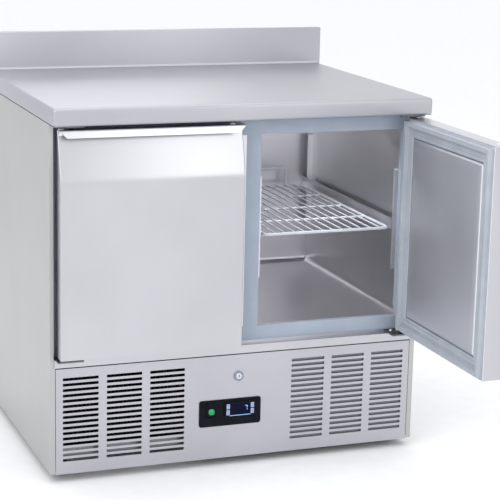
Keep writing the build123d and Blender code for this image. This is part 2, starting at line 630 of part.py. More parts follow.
def wire_shelf(middle: float) -> Part:
    """Coated wire shelf: bent rim, cross rods, wires front to back and a raised stop at the rear."""
    left, right = middle - SHELF_W / 2 + RIM_R, middle + SHELF_W / 2 - RIM_R
    front, rear = SHELF_FRONT + RIM_R, SHELF_BACK - RIM_R
    wire_z = SHELF_Z + RIM_R
    stop_x = STOP_W / 2 - RIM_R
    stop_z = SHELF_Z + STOP_H
    with BuildPart() as shelf:
        with BuildLine() as rim:
            FilletPolyline((left, front, SHELF_Z), (right, front, SHELF_Z), (right, rear, SHELF_Z),
                           (left, rear, SHELF_Z), radius=14, close=True)
        with BuildSketch(Plane(origin=rim.wire() @ 0, z_dir=rim.wire() % 0)):
            Circle(RIM_R)
        sweep(path=rim.wire())
        for n in range(SHELF_CROSS):
            y = front + (n + 1) * (rear - front) / (SHELF_CROSS + 1)
            rod((left, y, SHELF_Z - 0.5), (right, y, SHELF_Z - 0.5), CROSS_R)
        for n in range(SHELF_WIRES):
            x = left + (n + 1) * (right - left) / (SHELF_WIRES + 1)
            rod((x, front, wire_z), (x, rear, wire_z), WIRE_R)
        with BuildLine() as stop:
            FilletPolyline((middle - stop_x, rear, SHELF_Z), (middle - stop_x, rear, stop_z),
                           (middle + stop_x, rear, stop_z), (middle + stop_x, rear, SHELF_Z), radius=12)
        with BuildSketch(Plane(origin=stop.wire() @ 0, z_dir=stop.wire() % 0)):
            Circle(RIM_R)
        sweep(path=stop.wire())
    return shelf.part


# ---------------------------------------------------------------- cooling
def fan(x: float, y: tuple, z: float, radius: float, hub: float, blades: int) -> None:
    """A hub and raked blades whose axis lies along Y, bored from behind for its motor's shaft."""
    rod((x, y[0], z), (x, y[1], z), hub)
    depth = y[1] - y[0]
    for n in range(blades):
        plane = Plane(origin=(x, (y[0] + y[1]) / 2, z), x_dir=(0, 1, 0),
                      z_dir=(math.cos(2 * math.pi * n / blades), 0, math.sin(2 * math.pi * n / blades)))
        with BuildSketch(plane.offset(hub * 0.8)) as root:
            Rectangle(depth * 1.05, 1.6, rotation=35)
        with BuildSketch(plane.offset(radius)) as tip:
            Rectangle(depth * 1.05, 1.6, rotation=20)
        loft([root.sketch.face(), tip.sketch.face()])
    rod((x, y[0] + 4, z), (x, y[1] + 1, z), SHAFT_R + RUNNING, Mode.SUBTRACT)


def make_cooling() -> None:
    """Cold side: ducted column at the rear of the cavity, its coil, and both fans with their motors."""
    column = (LINER_BACK - COLUMN_D, LINER_BACK - 0.3)
    low, high = LINER_FLOOR + COVE_R + 2, LINER_CEILING - 0.3
    with BuildPart() as evaporator_cover:
        block((-POST_HALF, POST_HALF), column, (low, high))
        block((-POST_HALF + SHEET, POST_HALF - SHEET), (column[0] + SHEET, column[1] + 1), (low - 1, high - SHEET),
              Mode.SUBTRACT)
        hole = ((0, column[0] - 5, EVAPORATOR_FAN_Z), (0, column[0] + 5, EVAPORATOR_FAN_Z))
        rod(*hole, EVAPORATOR_FAN_R + 2, Mode.SUBTRACT)
        slots((0, column[0], low + 60), 1, 6, (1, SLOT_PITCH), (70, SLOT_H))
    save(evaporator_cover.part, "evaporator_cover")

    coil_y, coil_z = (column[0] + 26, LINER_BACK - 0.3), (low + 15, EVAPORATOR_FAN_Z - 2 * EVAPORATOR_FAN_R)
    fins = int((coil_z[1] - coil_z[0] - 24) / 11) + 1
    with BuildPart() as evaporator_coil:
        block((-44, 44), coil_y, coil_z)
        with Locations([(0, coil_y[0] + 12, coil_z[0] + 12 + 11 * n) for n in range(fins)]):
            Box(84, 30, 6, mode=Mode.SUBTRACT)
    save(evaporator_coil.part, "evaporator_coil")

    shaft_end = LINER_BACK - 34
    with BuildPart() as evaporator_fan:
        fan(0, (shaft_end - 22, shaft_end - 4), EVAPORATOR_FAN_Z, EVAPORATOR_FAN_R, 12, 5)
    save(evaporator_fan.part, "evaporator_fan")

    x, z = CONDENSER_FAN
    duct = DUCT_BACK
    with BuildPart() as condenser_fan:
        fan(x, (CONDENSER_Y[1] + 10, duct - 8), z, CONDENSER_FAN_R, 22, 6)
    save(condenser_fan.part, "condenser_fan")

    with BuildPart() as fan_motors:
        rod((0, shaft_end, EVAPORATOR_FAN_Z), (0, LINER_BACK - 0.3, EVAPORATOR_FAN_Z), 18)
        rod((0, shaft_end - 17, EVAPORATOR_FAN_Z), (0, shaft_end, EVAPORATOR_FAN_Z), SHAFT_R)
        rod((x, duct - 3, z), (x, duct + 37, z), 28)
        rod((x, CONDENSER_Y[1] + 15, z), (x, duct - 3, z), SHAFT_R)
        for arm in (-1, 1):
            with Locations((x, duct - 1.5, z)):
                Box(2 * (CONDENSER_FAN_R + 3.6), 3, 8, rotation=(0, arm * 45, 0))
    save(fan_motors.part, "fan_motors")


def make_machine() -> None:
    """Warm side on the base pan: compressor, condenser with its fan duct, drip tray and pipes."""
    ground = PAN_Z + PAN_T
    x, y = COMPRESSOR
    with BuildPart() as compressor:
        block((x - 90, x + 90), (y - 62, y + 62), (ground + 12, ground + 14.5))
        with Locations([(x + i * 76, y + j * 48, ground + 6.5) for i in (-1, 1) for j in (-1, 1)]):
            Cylinder(12, 13)
        with Locations((x, y, ground + 14 + COMPRESSOR_H / 2)):
            Cylinder(COMPRESSOR_R, COMPRESSOR_H)
        fillet(compressor.faces().sort_by(Axis.Z)[-1].edges(), 30)
    save(compressor.part, "compressor")

    x, z = CONDENSER_FAN
    with BuildPart() as condenser:
        block(CONDENSER_X, CONDENSER_Y, (ground, CONDENSER_TOP))
        fins = 26
        pitch = (CONDENSER_X[1] - CONDENSER_X[0] - 20) / fins
        with Locations([(CONDENSER_X[0] + 10 + (n + 0.5) * pitch, CONDENSER_Y[0] + 4,
                         (ground + CONDENSER_TOP) / 2) for n in range(fins)]):
            Box(pitch - 1.5, 30, CONDENSER_TOP - ground - 12, mode=Mode.SUBTRACT)
        duct = (CONDENSER_Y[1], DUCT_BACK)
        block((x - 90, x + 90), duct, (ground, CONDENSER_TOP))
        rod((x, duct[0], z), (x, duct[1] + 1, z), CONDENSER_FAN_R + 4, Mode.SUBTRACT)
    save(condenser.part, "condenser")

    right, near = CONDENSER_X[0] * -1 - 15, CONDENSER_Y[1] + 15
    with BuildPart() as drip_tray:
        block((right - TRAY_W, right), (near, near + TRAY_D), (ground, ground + 35))
        block((right - TRAY_W + 2, right - 2), (near + 2, near + TRAY_D - 2), (ground + 2, ground + 36), Mode.SUBTRACT)
    save(drip_tray.part, "drip_tray")

    side = CONDENSER_X[1] + 0.3
    port_y = CONDENSER_Y[0] + 30
    shell_y = COMPRESSOR[1] + COMPRESSOR_R + 0.3
    runs = (
        (SUCTION_R, (SUCTION_X + 40, shell_y, 150), (SUCTION_X + 40, PIPE_Y + 30, 150),
         (SUCTION_X, PIPE_Y + 30, 190), (SUCTION_X, PIPE_Y, 230), (SUCTION_X, PIPE_Y, FOAM_BOTTOM + 24)),
        (LIQUID_R, (side, port_y, 90), (LIQUID_X, port_y, 90), (LIQUID_X, PIPE_Y, 90),
         (LIQUID_X, PIPE_Y, FOAM_BOTTOM + 24)),
        (LIQUID_R, (COMPRESSOR[0] - COMPRESSOR_R - 0.3, COMPRESSOR[1], 165), (-100, COMPRESSOR[1], 165),
         (-100, port_y, 165), (side, port_y, 165)),
    )
    with BuildPart() as refrigerant_pipes:
        for radius, *points in runs:
            with BuildLine() as run:
                FilletPolyline(*points, radius=14)
            with BuildSketch(Plane(origin=run.wire() @ 0, z_dir=run.wire() % 0)):
                Circle(radius)
            sweep(path=run.wire())
    save(refrigerant_pipes.part, "refrigerant_pipes")


# ---------------------------------------------------------------- lower panel and controls
def make_lower_panel() -> None:
    """Slotted folded panel on two studs, and the blanking tray behind its right-hand slots."""
    z = (PANEL_GAP, PANEL_TOP)
    with BuildPart() as lower_panel:
        block((-PANEL_X, PANEL_X), (FACE_Y, FACE_Y + PANEL_FLANGE), z)
        block((-PANEL_X + SHEET, PANEL_X - SHEET), (FACE_Y + SHEET, FACE_Y + PANEL_FLANGE + 1),
              (z[0] + SHEET, z[1] - SHEET), Mode.SUBTRACT)
        for side in (-1, 1):
            slots((side * SLOT_CENTRES[1], FACE_Y, SLOT_MIDDLE), SLOT_COLUMNS, SLOT_ROWS, (SLOT_COLUMN, SLOT_PITCH),
                  (SLOT_W, SLOT_H))
        block((PLATE_X - PLATE_W / 2 + 6, PLATE_X + PLATE_W / 2 - 6), (FACE_Y - 1, FACE_Y + 2),
              (PLATE_Z - PLATE_H / 2 + 6, PLATE_Z + PLATE_H / 2 - 6), Mode.SUBTRACT)
        rod((0, FACE_Y - 1, LOCK_Z), (0, FACE_Y + 2, LOCK_Z), LOCK_R + FIT, Mode.SUBTRACT)
        rod((-BODY_X, PIVOT_Y, PIVOT_Z), (BODY_X, PIVOT_Y, PIVOT_Z), PIN_R + RUNNING, Mode.SUBTRACT)
    save(lower_panel.part, "lower_panel")

    half = SLOT_COLUMN + SLOT_W / 2 + 6
    rise = (SLOT_ROWS - 1) * SLOT_PITCH / 2 + 12
    x = (SLOT_CENTRES[1] - half, SLOT_CENTRES[1] + half)
    z = (SLOT_MIDDLE - rise, SLOT_MIDDLE + rise)
    with BuildPart() as air_baffle:
        block(x, (FACE_Y + SHEET, FACE_Y + 5), z)
        block((x[0] + SHEET, x[1] - SHEET), (FACE_Y, FACE_Y + 4), (z[0] + SHEET, z[1] - SHEET), Mode.SUBTRACT)
    save(air_baffle.part, "air_baffle")


def make_controls() -> None:
    """Black control plate with the switch, the controller and its four keys, and the round lock."""
    plate_y = (FACE_Y - PLATE_T, FACE_Y)
    with BuildPart() as control_plate:
        with BuildSketch(Plane.XZ.offset(-FACE_Y)):
            with Locations((PLATE_X, PLATE_Z)):
                RectangleRounded(PLATE_W, PLATE_H, 6)
            with Locations((SWITCH_X, CONTROL_Z)):
                Rectangle(SWITCH_W - 3, SWITCH_H - 3, mode=Mode.SUBTRACT)
            with Locations((CONTROLLER_X, CONTROL_Z)):
                Rectangle(CONTROLLER_W - 7 + 2 * FIT, CONTROLLER_H - 6 + 2 * FIT, mode=Mode.SUBTRACT)
        extrude(amount=PLATE_T)
    save(control_plate.part, "control_plate")

    def outline(x: float, width: float, height: float, y: tuple, mode: Mode = Mode.ADD) -> None:
        block((x - width / 2, x + width / 2), y, (CONTROL_Z - height / 2, CONTROL_Z + height / 2), mode)

    bezel = plate_y[0] - 1.5
    pivot_y = plate_y[0] + 8
    with BuildPart() as switch_housing:
        outline(SWITCH_X, SWITCH_W, SWITCH_H, (bezel, plate_y[0]))
        fillet(switch_housing.edges().filter_by(Axis.Y), 2.5)
        outline(SWITCH_X, SWITCH_W - 3.2, SWITCH_H - 3.2, (plate_y[0], plate_y[0] + 22))
        outline(SWITCH_X, SWITCH_W - 5, SWITCH_H - 5, (bezel - 1, pivot_y + 5), Mode.SUBTRACT)
        rod((SWITCH_X - SWITCH_W, pivot_y, CONTROL_Z), (SWITCH_X + SWITCH_W, pivot_y, CONTROL_Z), 1.5 + RUNNING,
            Mode.SUBTRACT)
    save(switch_housing.part, "switch_housing")

    edge = ROCKER_H / 2
    face = pivot_y - bezel
    crown = face + edge * math.tan(math.radians(ROCKER_TILT))
    with BuildPart() as switch_rocker:
        with BuildSketch(Plane.YZ.offset(SWITCH_X - ROCKER_W / 2)):
            with Locations((pivot_y, CONTROL_Z)):
                Polygon((-face, 0), (-crown, edge), (-4, edge), (3, 5), (3, -5), (-4, -edge), (-crown, -edge),
                        align=None)
        extrude(amount=ROCKER_W)
        reach = ROCKER_W / 2 + 1.1
        rod((SWITCH_X - reach, pivot_y, CONTROL_Z), (SWITCH_X + reach, pivot_y, CONTROL_Z), 1.5)
    tilt = Axis((SWITCH_X, pivot_y, CONTROL_Z), (1, 0, 0))
    save(switch_rocker.part.rotate(tilt, -ROCKER_TILT), "switch_rocker")

    front, back = CONTROLLER_FRONT, plate_y[0]
    with BuildPart() as controller_body:
        outline(CONTROLLER_X, CONTROLLER_W, CONTROLLER_H, (front, back))
        fillet(controller_body.edges().filter_by(Axis.Y), 4)
        outline(CONTROLLER_X, CONTROLLER_W - 7, CONTROLLER_H - 6, (back, back + CONTROLLER_D))
        outline(CONTROLLER_X, SCREEN_W + 2 * FIT, SCREEN_H + 2 * FIT, (front - 1, front + 1.4), Mode.SUBTRACT)
        for x, z in KEYS.values():
            key(x, z, KEY_GAP, (front - 1, front + 4 + KEY_TRAVEL + KEY_GAP), Mode.SUBTRACT)
    save(controller_body.part, "controller_body")

    with BuildPart() as controller_screen:
        outline(CONTROLLER_X, SCREEN_W, SCREEN_H, (front + 0.2, front + 1.4))
    save(controller_screen.part, "controller_screen")

    for name, (x, z) in KEYS.items():
        with BuildPart() as button:
            key(x, z, 0.0, (front - 0.6, front + 4), Mode.ADD)
            fillet(button.faces().sort_by(Axis.Y)[0].edges(), 0.4)
        save(button.part, name)

    with BuildPart() as lock_housing:
        rod((0, FACE_Y - 3, LOCK_Z), (0, FACE_Y, LOCK_Z), LOCK_RING_R)
        fillet(lock_housing.faces().sort_by(Axis.Y)[0].edges(), 1)
        rod((0, FACE_Y, LOCK_Z), (0, FACE_Y + 20, LOCK_Z), LOCK_R)
        rod((0, FACE_Y - 4, LOCK_Z), (0, FACE_Y + 21, LOCK_Z), PLUG_R + RUNNING, Mode.SUBTRACT)
    save(lock_housing.part, "lock_housing")

    with BuildPart() as lock_barrel:
        rod((0, FACE_Y - 3.4, LOCK_Z), (0, FRAME_Y + 1, LOCK_Z), PLUG_R)
        block((-CAM_W / 2, CAM_L), (FRAME_Y + 1, FRAME_Y + 3), (LOCK_Z - CAM_W / 2, LOCK_Z + CAM_W / 2))
        fillet(lock_barrel.edges().filter_by(Axis.Y).sort_by(Axis.X)[-2:], 4)
        block((-0.8, 0.8), (FACE_Y - 4, FACE_Y + 0.6), (LOCK_Z - 3.5, LOCK_Z + 3.5), Mode.SUBTRACT)
    save(lock_barrel.part, "lock_barrel")


def key(x: float, z: float, grow: float, y: tuple, mode: Mode) -> None:
    """A key, or with `grow` the pocket that it slides in."""
    block((x - KEY_W / 2 - grow, x + KEY_W / 2 + grow), y, (z - KEY_H / 2 - grow, z + KEY_H / 2 + grow), mode)



# ---------------------------------------------------------------- castors
def castor_legs(x: float, axis_y: float, wheel_y: float, top: float, spread: float) -> None:
    """Two fork legs and the axle between them."""
    outer = WHEEL_W / 2 + WHEEL_GAP + FORK_T
    with BuildSketch(Plane.YZ.offset(x - outer)) as leg:
        with BuildLine():
            Polyline((axis_y - spread, top), (axis_y + spread, top), (wheel_y + 7, WHEEL_R), (wheel_y, WHEEL_R - 7),
                     (wheel_y - 7, WHEEL_R), close=True)
        make_face()
    extrude(leg.sketch, amount=2 * outer)
    block((x - outer + FORK_T, x + outer - FORK_T), (axis_y - 60, axis_y + 60), (0, top), Mode.SUBTRACT)
    rod((x - outer, wheel_y, WHEEL_R), (x + outer, wheel_y, WHEEL_R), AXLE_R)


def make_castors() -> None:
    """Two swivelling castors under the front and two fixed ones under the rear."""
    front_y, rear_y = FRONT + CASTOR_FRONT, BACK - CASTOR_REAR
    plate = (PAN_Z - MOUNT_T, PAN_Z)
    disc = (RACE_LOW - 0.3 - 2.7, RACE_LOW - 0.3)
    with BuildPart() as castor_mounts:
        for side in (-1, 1):
            x = side * CASTOR_X
            castor_legs(x, rear_y, rear_y, plate[0], 20)
            block((x - 30, x + 30), (rear_y - 25, rear_y + 25), plate)
            block((x - 30, x + 30), (front_y - 25, front_y + 25), plate)
            rod((x, front_y, RACE_LOW), (x, front_y, plate[0]), RACE_R)
            rod((x, front_y, disc[0] - 0.3), (x, front_y, RACE_LOW), KINGPIN_R)
            rod((x, front_y, disc[0] - 2.3), (x, front_y, disc[0] - 0.3), KINGPIN_R + 3)
    save(castor_mounts.part, "castor_mounts")

    with BuildPart() as fork:
        castor_legs(CASTOR_X, front_y, front_y + TRAIL, disc[0], 14)
        rod((CASTOR_X, front_y, disc[0]), (CASTOR_X, front_y, disc[1]), RACE_R + 1)
        rod((CASTOR_X, front_y, disc[0] - 1), (CASTOR_X, front_y, disc[1] + 1), KINGPIN_R + RUNNING, Mode.SUBTRACT)
    save(fork.part, "castor_fork_front_right")
    save(mirrored(fork.part), "castor_fork_front_left")

    for name, y in (("front", front_y + TRAIL), ("rear", rear_y)):
        with BuildPart() as wheel:
            rod((CASTOR_X - WHEEL_W / 2, y, WHEEL_R), (CASTOR_X + WHEEL_W / 2, y, WHEEL_R), WHEEL_R)
            fillet(wheel.edges().filter_by(GeomType.CIRCLE), 2)
            rod((CASTOR_X - WHEEL_W, y, WHEEL_R), (CASTOR_X + WHEEL_W, y, WHEEL_R), AXLE_R + RUNNING, Mode.SUBTRACT)
        save(wheel.part, f"castor_wheel_{name}_right")
        save(mirrored(wheel.part), f"castor_wheel_{name}_left")


for make in (
    make_worktop, make_side_panels, make_back_panels, make_foam_and_liner, make_frame, make_rail_and_pan,
    make_hinges, make_doors, make_uprights_and_runners, make_shelves, make_cooling, make_machine,
    make_lower_panel, make_controls, make_castors,
):
    make()
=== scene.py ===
"""Studio scene of a two-door undercounter refrigerator in brushed stainless steel.

Metres, +Z up, doors facing -Y. Every piece is a numpy surface that stands where the frame's solids are, and
takes its overall sizes from their boxes. Lengths inside the classes are in millimetres.
"""
import logging
import math
from dataclasses import dataclass, field
from enum import Enum

import bmesh
import bpy
import numpy as np
from mathutils import Matrix, Vector

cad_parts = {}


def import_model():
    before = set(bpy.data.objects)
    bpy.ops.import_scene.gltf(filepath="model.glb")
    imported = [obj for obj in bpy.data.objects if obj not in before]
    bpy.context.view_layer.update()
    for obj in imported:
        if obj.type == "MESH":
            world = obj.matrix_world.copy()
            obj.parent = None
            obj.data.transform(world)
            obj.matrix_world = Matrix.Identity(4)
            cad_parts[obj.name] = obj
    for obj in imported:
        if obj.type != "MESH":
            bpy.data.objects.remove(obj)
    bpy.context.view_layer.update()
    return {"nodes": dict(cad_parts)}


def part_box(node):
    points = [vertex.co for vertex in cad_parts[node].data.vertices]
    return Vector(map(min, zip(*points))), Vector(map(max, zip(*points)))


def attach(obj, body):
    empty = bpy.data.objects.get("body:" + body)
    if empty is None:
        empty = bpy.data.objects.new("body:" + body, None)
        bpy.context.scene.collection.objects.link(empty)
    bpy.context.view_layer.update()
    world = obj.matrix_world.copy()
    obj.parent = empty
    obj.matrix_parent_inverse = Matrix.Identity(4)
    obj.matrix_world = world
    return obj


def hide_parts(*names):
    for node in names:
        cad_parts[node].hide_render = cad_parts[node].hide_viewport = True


LOG = logging.getLogger("refrigerator")
MM = 0.001
LINE_RATIO = 70.0  # how many times longer than wide a brushed line is drawn
NOISE_SPREAD = {"From Min": 0.3, "From Max": 0.7}  # where most of a noise's values lie

Colour = tuple[float, float, float, float]
Point = tuple[float, float, float]
Made = dict[str, bpy.types.Material]
Started = tuple[bpy.types.Material, bpy.types.NodeTree, bpy.types.Node, bpy.types.NodeSocket]


def linear(value: str) -> Colour:
    """Turns an sRGB hex colour into linear RGBA.

    Args:
        value: Six hex digits with a leading hash.

    Returns:
        The colour's linear red, green and blue, with alpha 1.
    """
    parts = [int(value[i:i + 2], 16) / 255 for i in (1, 3, 5)]
    red, green, blue = (c / 12.92 if c <= 0.04045 else ((c + 0.055) / 1.055) ** 2.4 for c in parts)
    return red, green, blue, 1.0


def add(tree: bpy.types.NodeTree, kind: str, settings: dict | None = None,
        links: dict | None = None) -> bpy.types.Node:
    """Adds one node with its settings and incoming links.

    Args:
        tree: The material's node tree.
        kind: The node's type name.
        settings: Values by attribute name, or by input name or number.
        links: Source sockets by input name or number.

    Returns:
        The new node.
    """
    node = tree.nodes.new(kind)
    for name, value in (settings or {}).items():
        if isinstance(name, str) and name not in node.inputs and hasattr(node, name):
            setattr(node, name, value)
        else:
            node.inputs[name].default_value = value
    for name, socket in (links or {}).items():
        tree.links.new(socket, node.inputs[name])
    return node


def box_mm(node: str) -> np.ndarray:
    """Gives a solid's box in millimetres, to a twentieth, which takes out the error of its facets.

    Args:
        node: The solid's node name.

    Returns:
        The low corner and the high corner, with the shape (2, 3).
    """
    return np.round(np.array([tuple(corner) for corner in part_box(node)]) / MM * 20) / 20


# ---------------------------------------------------------------- finishes
class Grain(Enum):
    """The way that a sheet's brushed lines run, as a scale along X, Y and Z."""

    ALONG_X = (1 / LINE_RATIO, 1.0, 1.0)
    ALONG_Z = (1.0, 1.0, 1 / LINE_RATIO)


@dataclass(frozen=True)
class Finish:
    """What every finish has: a name, a base colour and a gloss."""

    name: str
    colour: str
    roughness: float = 0.5

    def start(self) -> Started:
        """Makes an empty node material.

        Returns:
            The material, its tree, its Principled shader and the socket that gives a point's place.
        """
        material = bpy.data.materials.new(self.name)
        material.use_nodes = True
        tree = material.node_tree
        tree.nodes.clear()
        shader = add(tree, "ShaderNodeBsdfPrincipled",
                     {"Base Color": linear(self.colour), "Roughness": self.roughness})
        add(tree, "ShaderNodeOutputMaterial", links={"Surface": shader.outputs[0]})
        place = add(tree, "ShaderNodeTexCoord").outputs["Object"]
        material.diffuse_color = linear(self.colour)
        return material, tree, shader, place


@dataclass(frozen=True)
class BrushedStainless(Finish):
    """Cold-rolled 304 stainless sheet, satin-brushed: faint lines one way, soft highlights and smudges."""

    grain: Grain = Grain.ALONG_X
    line_mm: float = 0.9  # real lines are about 0.1 mm apart, drawn coarser so that they show
    smudge_mm: float = 190.0  # a wiped patch, about as wide as a cloth
    shade: str = "#b4b6ba"
    depth: float = 0.02

    def build(self) -> bpy.types.Material:
        """Makes the material.

        Returns:
            The new material.
        """
        material, tree, shader, place = self.start()
        lines = add(tree, "ShaderNodeMapping", {"Scale": self.grain.value}, {"Vector": place})
        scratch = add(tree, "ShaderNodeTexNoise",
                      {"Scale": 1 / (self.line_mm * MM), "Detail": 3.0, "Roughness": 0.6},
                      {"Vector": lines.outputs[0]})
        smudge = add(tree, "ShaderNodeTexNoise",
                     {"Scale": 1 / (self.smudge_mm * MM), "Detail": 3.0, "Roughness": 0.5}, {"Vector": place})
        cloudy = add(tree, "ShaderNodeMapRange", NOISE_SPREAD | {"To Min": 0.0, "To Max": 0.5},
                     {"Value": smudge.outputs[0]})
        both = add(tree, "ShaderNodeMath", {"operation": "MULTIPLY_ADD", 1: 0.5},
                   {0: scratch.outputs[0], 2: cloudy.outputs[0]})
        base = add(tree, "ShaderNodeMix",
                   {"data_type": "RGBA", 6: linear(self.shade), 7: linear(self.colour)}, {0: both.outputs[0]})
        tree.links.new(base.outputs[2], shader.inputs["Base Color"])
        gloss = add(tree, "ShaderNodeMapRange",
                    NOISE_SPREAD | {"To Min": self.roughness - 0.03, "To Max": self.roughness + 0.03},
                    {"Value": scratch.outputs[0]})
        wiped = add(tree, "ShaderNodeMath", {"operation": "MULTIPLY_ADD", 1: 0.06},
                    {0: cloudy.outputs[0], 2: gloss.outputs[0]})
        tree.links.new(wiped.outputs[0], shader.inputs["Roughness"])
        bump = add(tree, "ShaderNodeBump", {"Strength": self.depth, "Distance": 0.0001},
                   {"Height": scratch.outputs[0]})
        tree.links.new(bump.outputs[0], shader.inputs["Normal"])
        shader.inputs["Metallic"].default_value = 1.0
        return material


@dataclass(frozen=True)
class PlatedMetal(Finish):
    """Rolled, drawn or plated metal with a fine mottle, such as zinc-plated steel, fin or copper tube."""

    shade: str = "#8d9094"
    mottle_mm: float = 6.0  # about the size of a zinc crystal's flake

    def build(self) -> bpy.types.Material:
        """Makes the material.

        Returns:
            The new material.
        """
        material, tree, shader, place = self.start()
        cloud = add(tree, "ShaderNodeTexNoise", {"Scale": 1 / (self.mottle_mm * MM), "Detail": 5.0},
                    {"Vector": place})
        spangle = add(tree, "ShaderNodeTexVoronoi", {"Scale": 1.4 / (self.mottle_mm * MM)}, {"Vector": place})
        patch = add(tree, "ShaderNodeMapRange", NOISE_SPREAD | {"To Min": 0.0, "To Max": 0.6},
                    {"Value": cloud.outputs[0]})
        mixed = add(tree, "ShaderNodeMath", {"operation": "MULTIPLY_ADD", 1: 0.5},
                    {0: spangle.outputs["Distance"], 2: patch.outputs[0]})
        base = add(tree, "ShaderNodeMix",
                   {"data_type": "RGBA", 6: linear(self.shade), 7: linear(self.colour)},
                   {0: mixed.outputs[0]})
        tree.links.new(base.outputs[2], shader.inputs["Base Color"])
        gloss = add(tree, "ShaderNodeMapRange",
                    NOISE_SPREAD | {"To Min": self.roughness - 0.08, "To Max": self.roughness + 0.1},
                    {"Value": cloud.outputs[0]})
        tree.links.new(gloss.outputs[0], shader.inputs["Roughness"])
        shader.inputs["Metallic"].default_value = 1.0
        return material


@dataclass(frozen=True)
class MouldedPlastic(Finish):
    """Injection-moulded or extruded plastic: a fine spark-eroded grain and a slightly uneven gloss."""

    shade: str = "#20242a"
    grain_mm: float = 0.7  # a spark-eroded grain is nearer 0.1 mm, drawn coarser so that it shows
    flow_mm: float = 45.0  # the width of a flow mark
    depth: float = 0.12
    ior: float = 1.5
    specular: float = 0.5

    def build(self) -> bpy.types.Material:
        """Makes the material.

        Returns:
            The new material.
        """
        material, tree, shader, place = self.start()
        grain = add(tree, "ShaderNodeTexNoise", {"Scale": 1 / (self.grain_mm * MM), "Detail": 2.0},
                    {"Vector": place})
        flow = add(tree, "ShaderNodeTexNoise", {"Scale": 1 / (self.flow_mm * MM), "Detail": 3.0},
                   {"Vector": place})
        drift = add(tree, "ShaderNodeMapRange", NOISE_SPREAD, {"Value": flow.outputs[0]})
        base = add(tree, "ShaderNodeMix",
                   {"data_type": "RGBA", 6: linear(self.shade), 7: linear(self.colour)},
                   {0: drift.outputs[0]})
        tree.links.new(base.outputs[2], shader.inputs["Base Color"])
        gloss = add(tree, "ShaderNodeMapRange",
                    NOISE_SPREAD | {"To Min": self.roughness - 0.06, "To Max": self.roughness + 0.08},
                    {"Value": grain.outputs[0]})
        tree.links.new(gloss.outputs[0], shader.inputs["Roughness"])
        bump = add(tree, "ShaderNodeBump", {"Strength": self.depth, "Distance": 0.0001},
                   {"Height": grain.outputs[0]})
        tree.links.new(bump.outputs[0], shader.inputs["Normal"])
        shader.inputs["IOR"].default_value = self.ior
        shader.inputs["Specular IOR Level"].default_value = self.specular
        return material


@dataclass(frozen=True)
class LitPlastic(MouldedPlastic):
    """Translucent moulded plastic or a display segment with a lamp behind it: the colour glows a little."""

    glow: float = 0.6

    def build(self) -> bpy.types.Material:
        """Makes the material.

        Returns:
            The new material.
        """
        material = super().build()
        shader = next(n for n in material.node_tree.nodes if n.type == "BSDF_PRINCIPLED")
        shader.inputs["Emission Color"].default_value = linear(self.colour)
        shader.inputs["Emission Strength"].default_value = self.glow
        return material


@dataclass(frozen=True)
class CellFoam(Finish):
    """Injected polyurethane foam: small closed cells, matt and slightly yellow, with the cells' pits coloured
    darker as painted shade.
    """

    shade: str = "#c9b98a"
    cell_mm: float = 2.5  # real cells are about 0.3 mm, drawn coarser so that they show

    def build(self) -> bpy.types.Material:
        """Makes the material.

        Returns:
            The new material.
        """
        material, tree, shader, place = self.start()
        cells = add(tree, "ShaderNodeTexVoronoi", {"Scale": 1 / (self.cell_mm * MM)}, {"Vector": place})
        # The pits of the cells, low in the bump, take the darker colour: painted shade.
        wall = add(tree, "ShaderNodeMapRange", {"From Min": 0.1, "From Max": 0.6},
                   {"Value": cells.outputs["Distance"]})
        base = add(tree, "ShaderNodeMix",
                   {"data_type": "RGBA", 6: linear(self.shade), 7: linear(self.colour)}, {0: wall.outputs[0]})
        tree.links.new(base.outputs[2], shader.inputs["Base Color"])
        bump = add(tree, "ShaderNodeBump", {"Strength": 0.4, "Distance": 0.0005},
                   {"Height": cells.outputs["Distance"]})
        tree.links.new(bump.outputs[0], shader.inputs["Normal"])
        return material


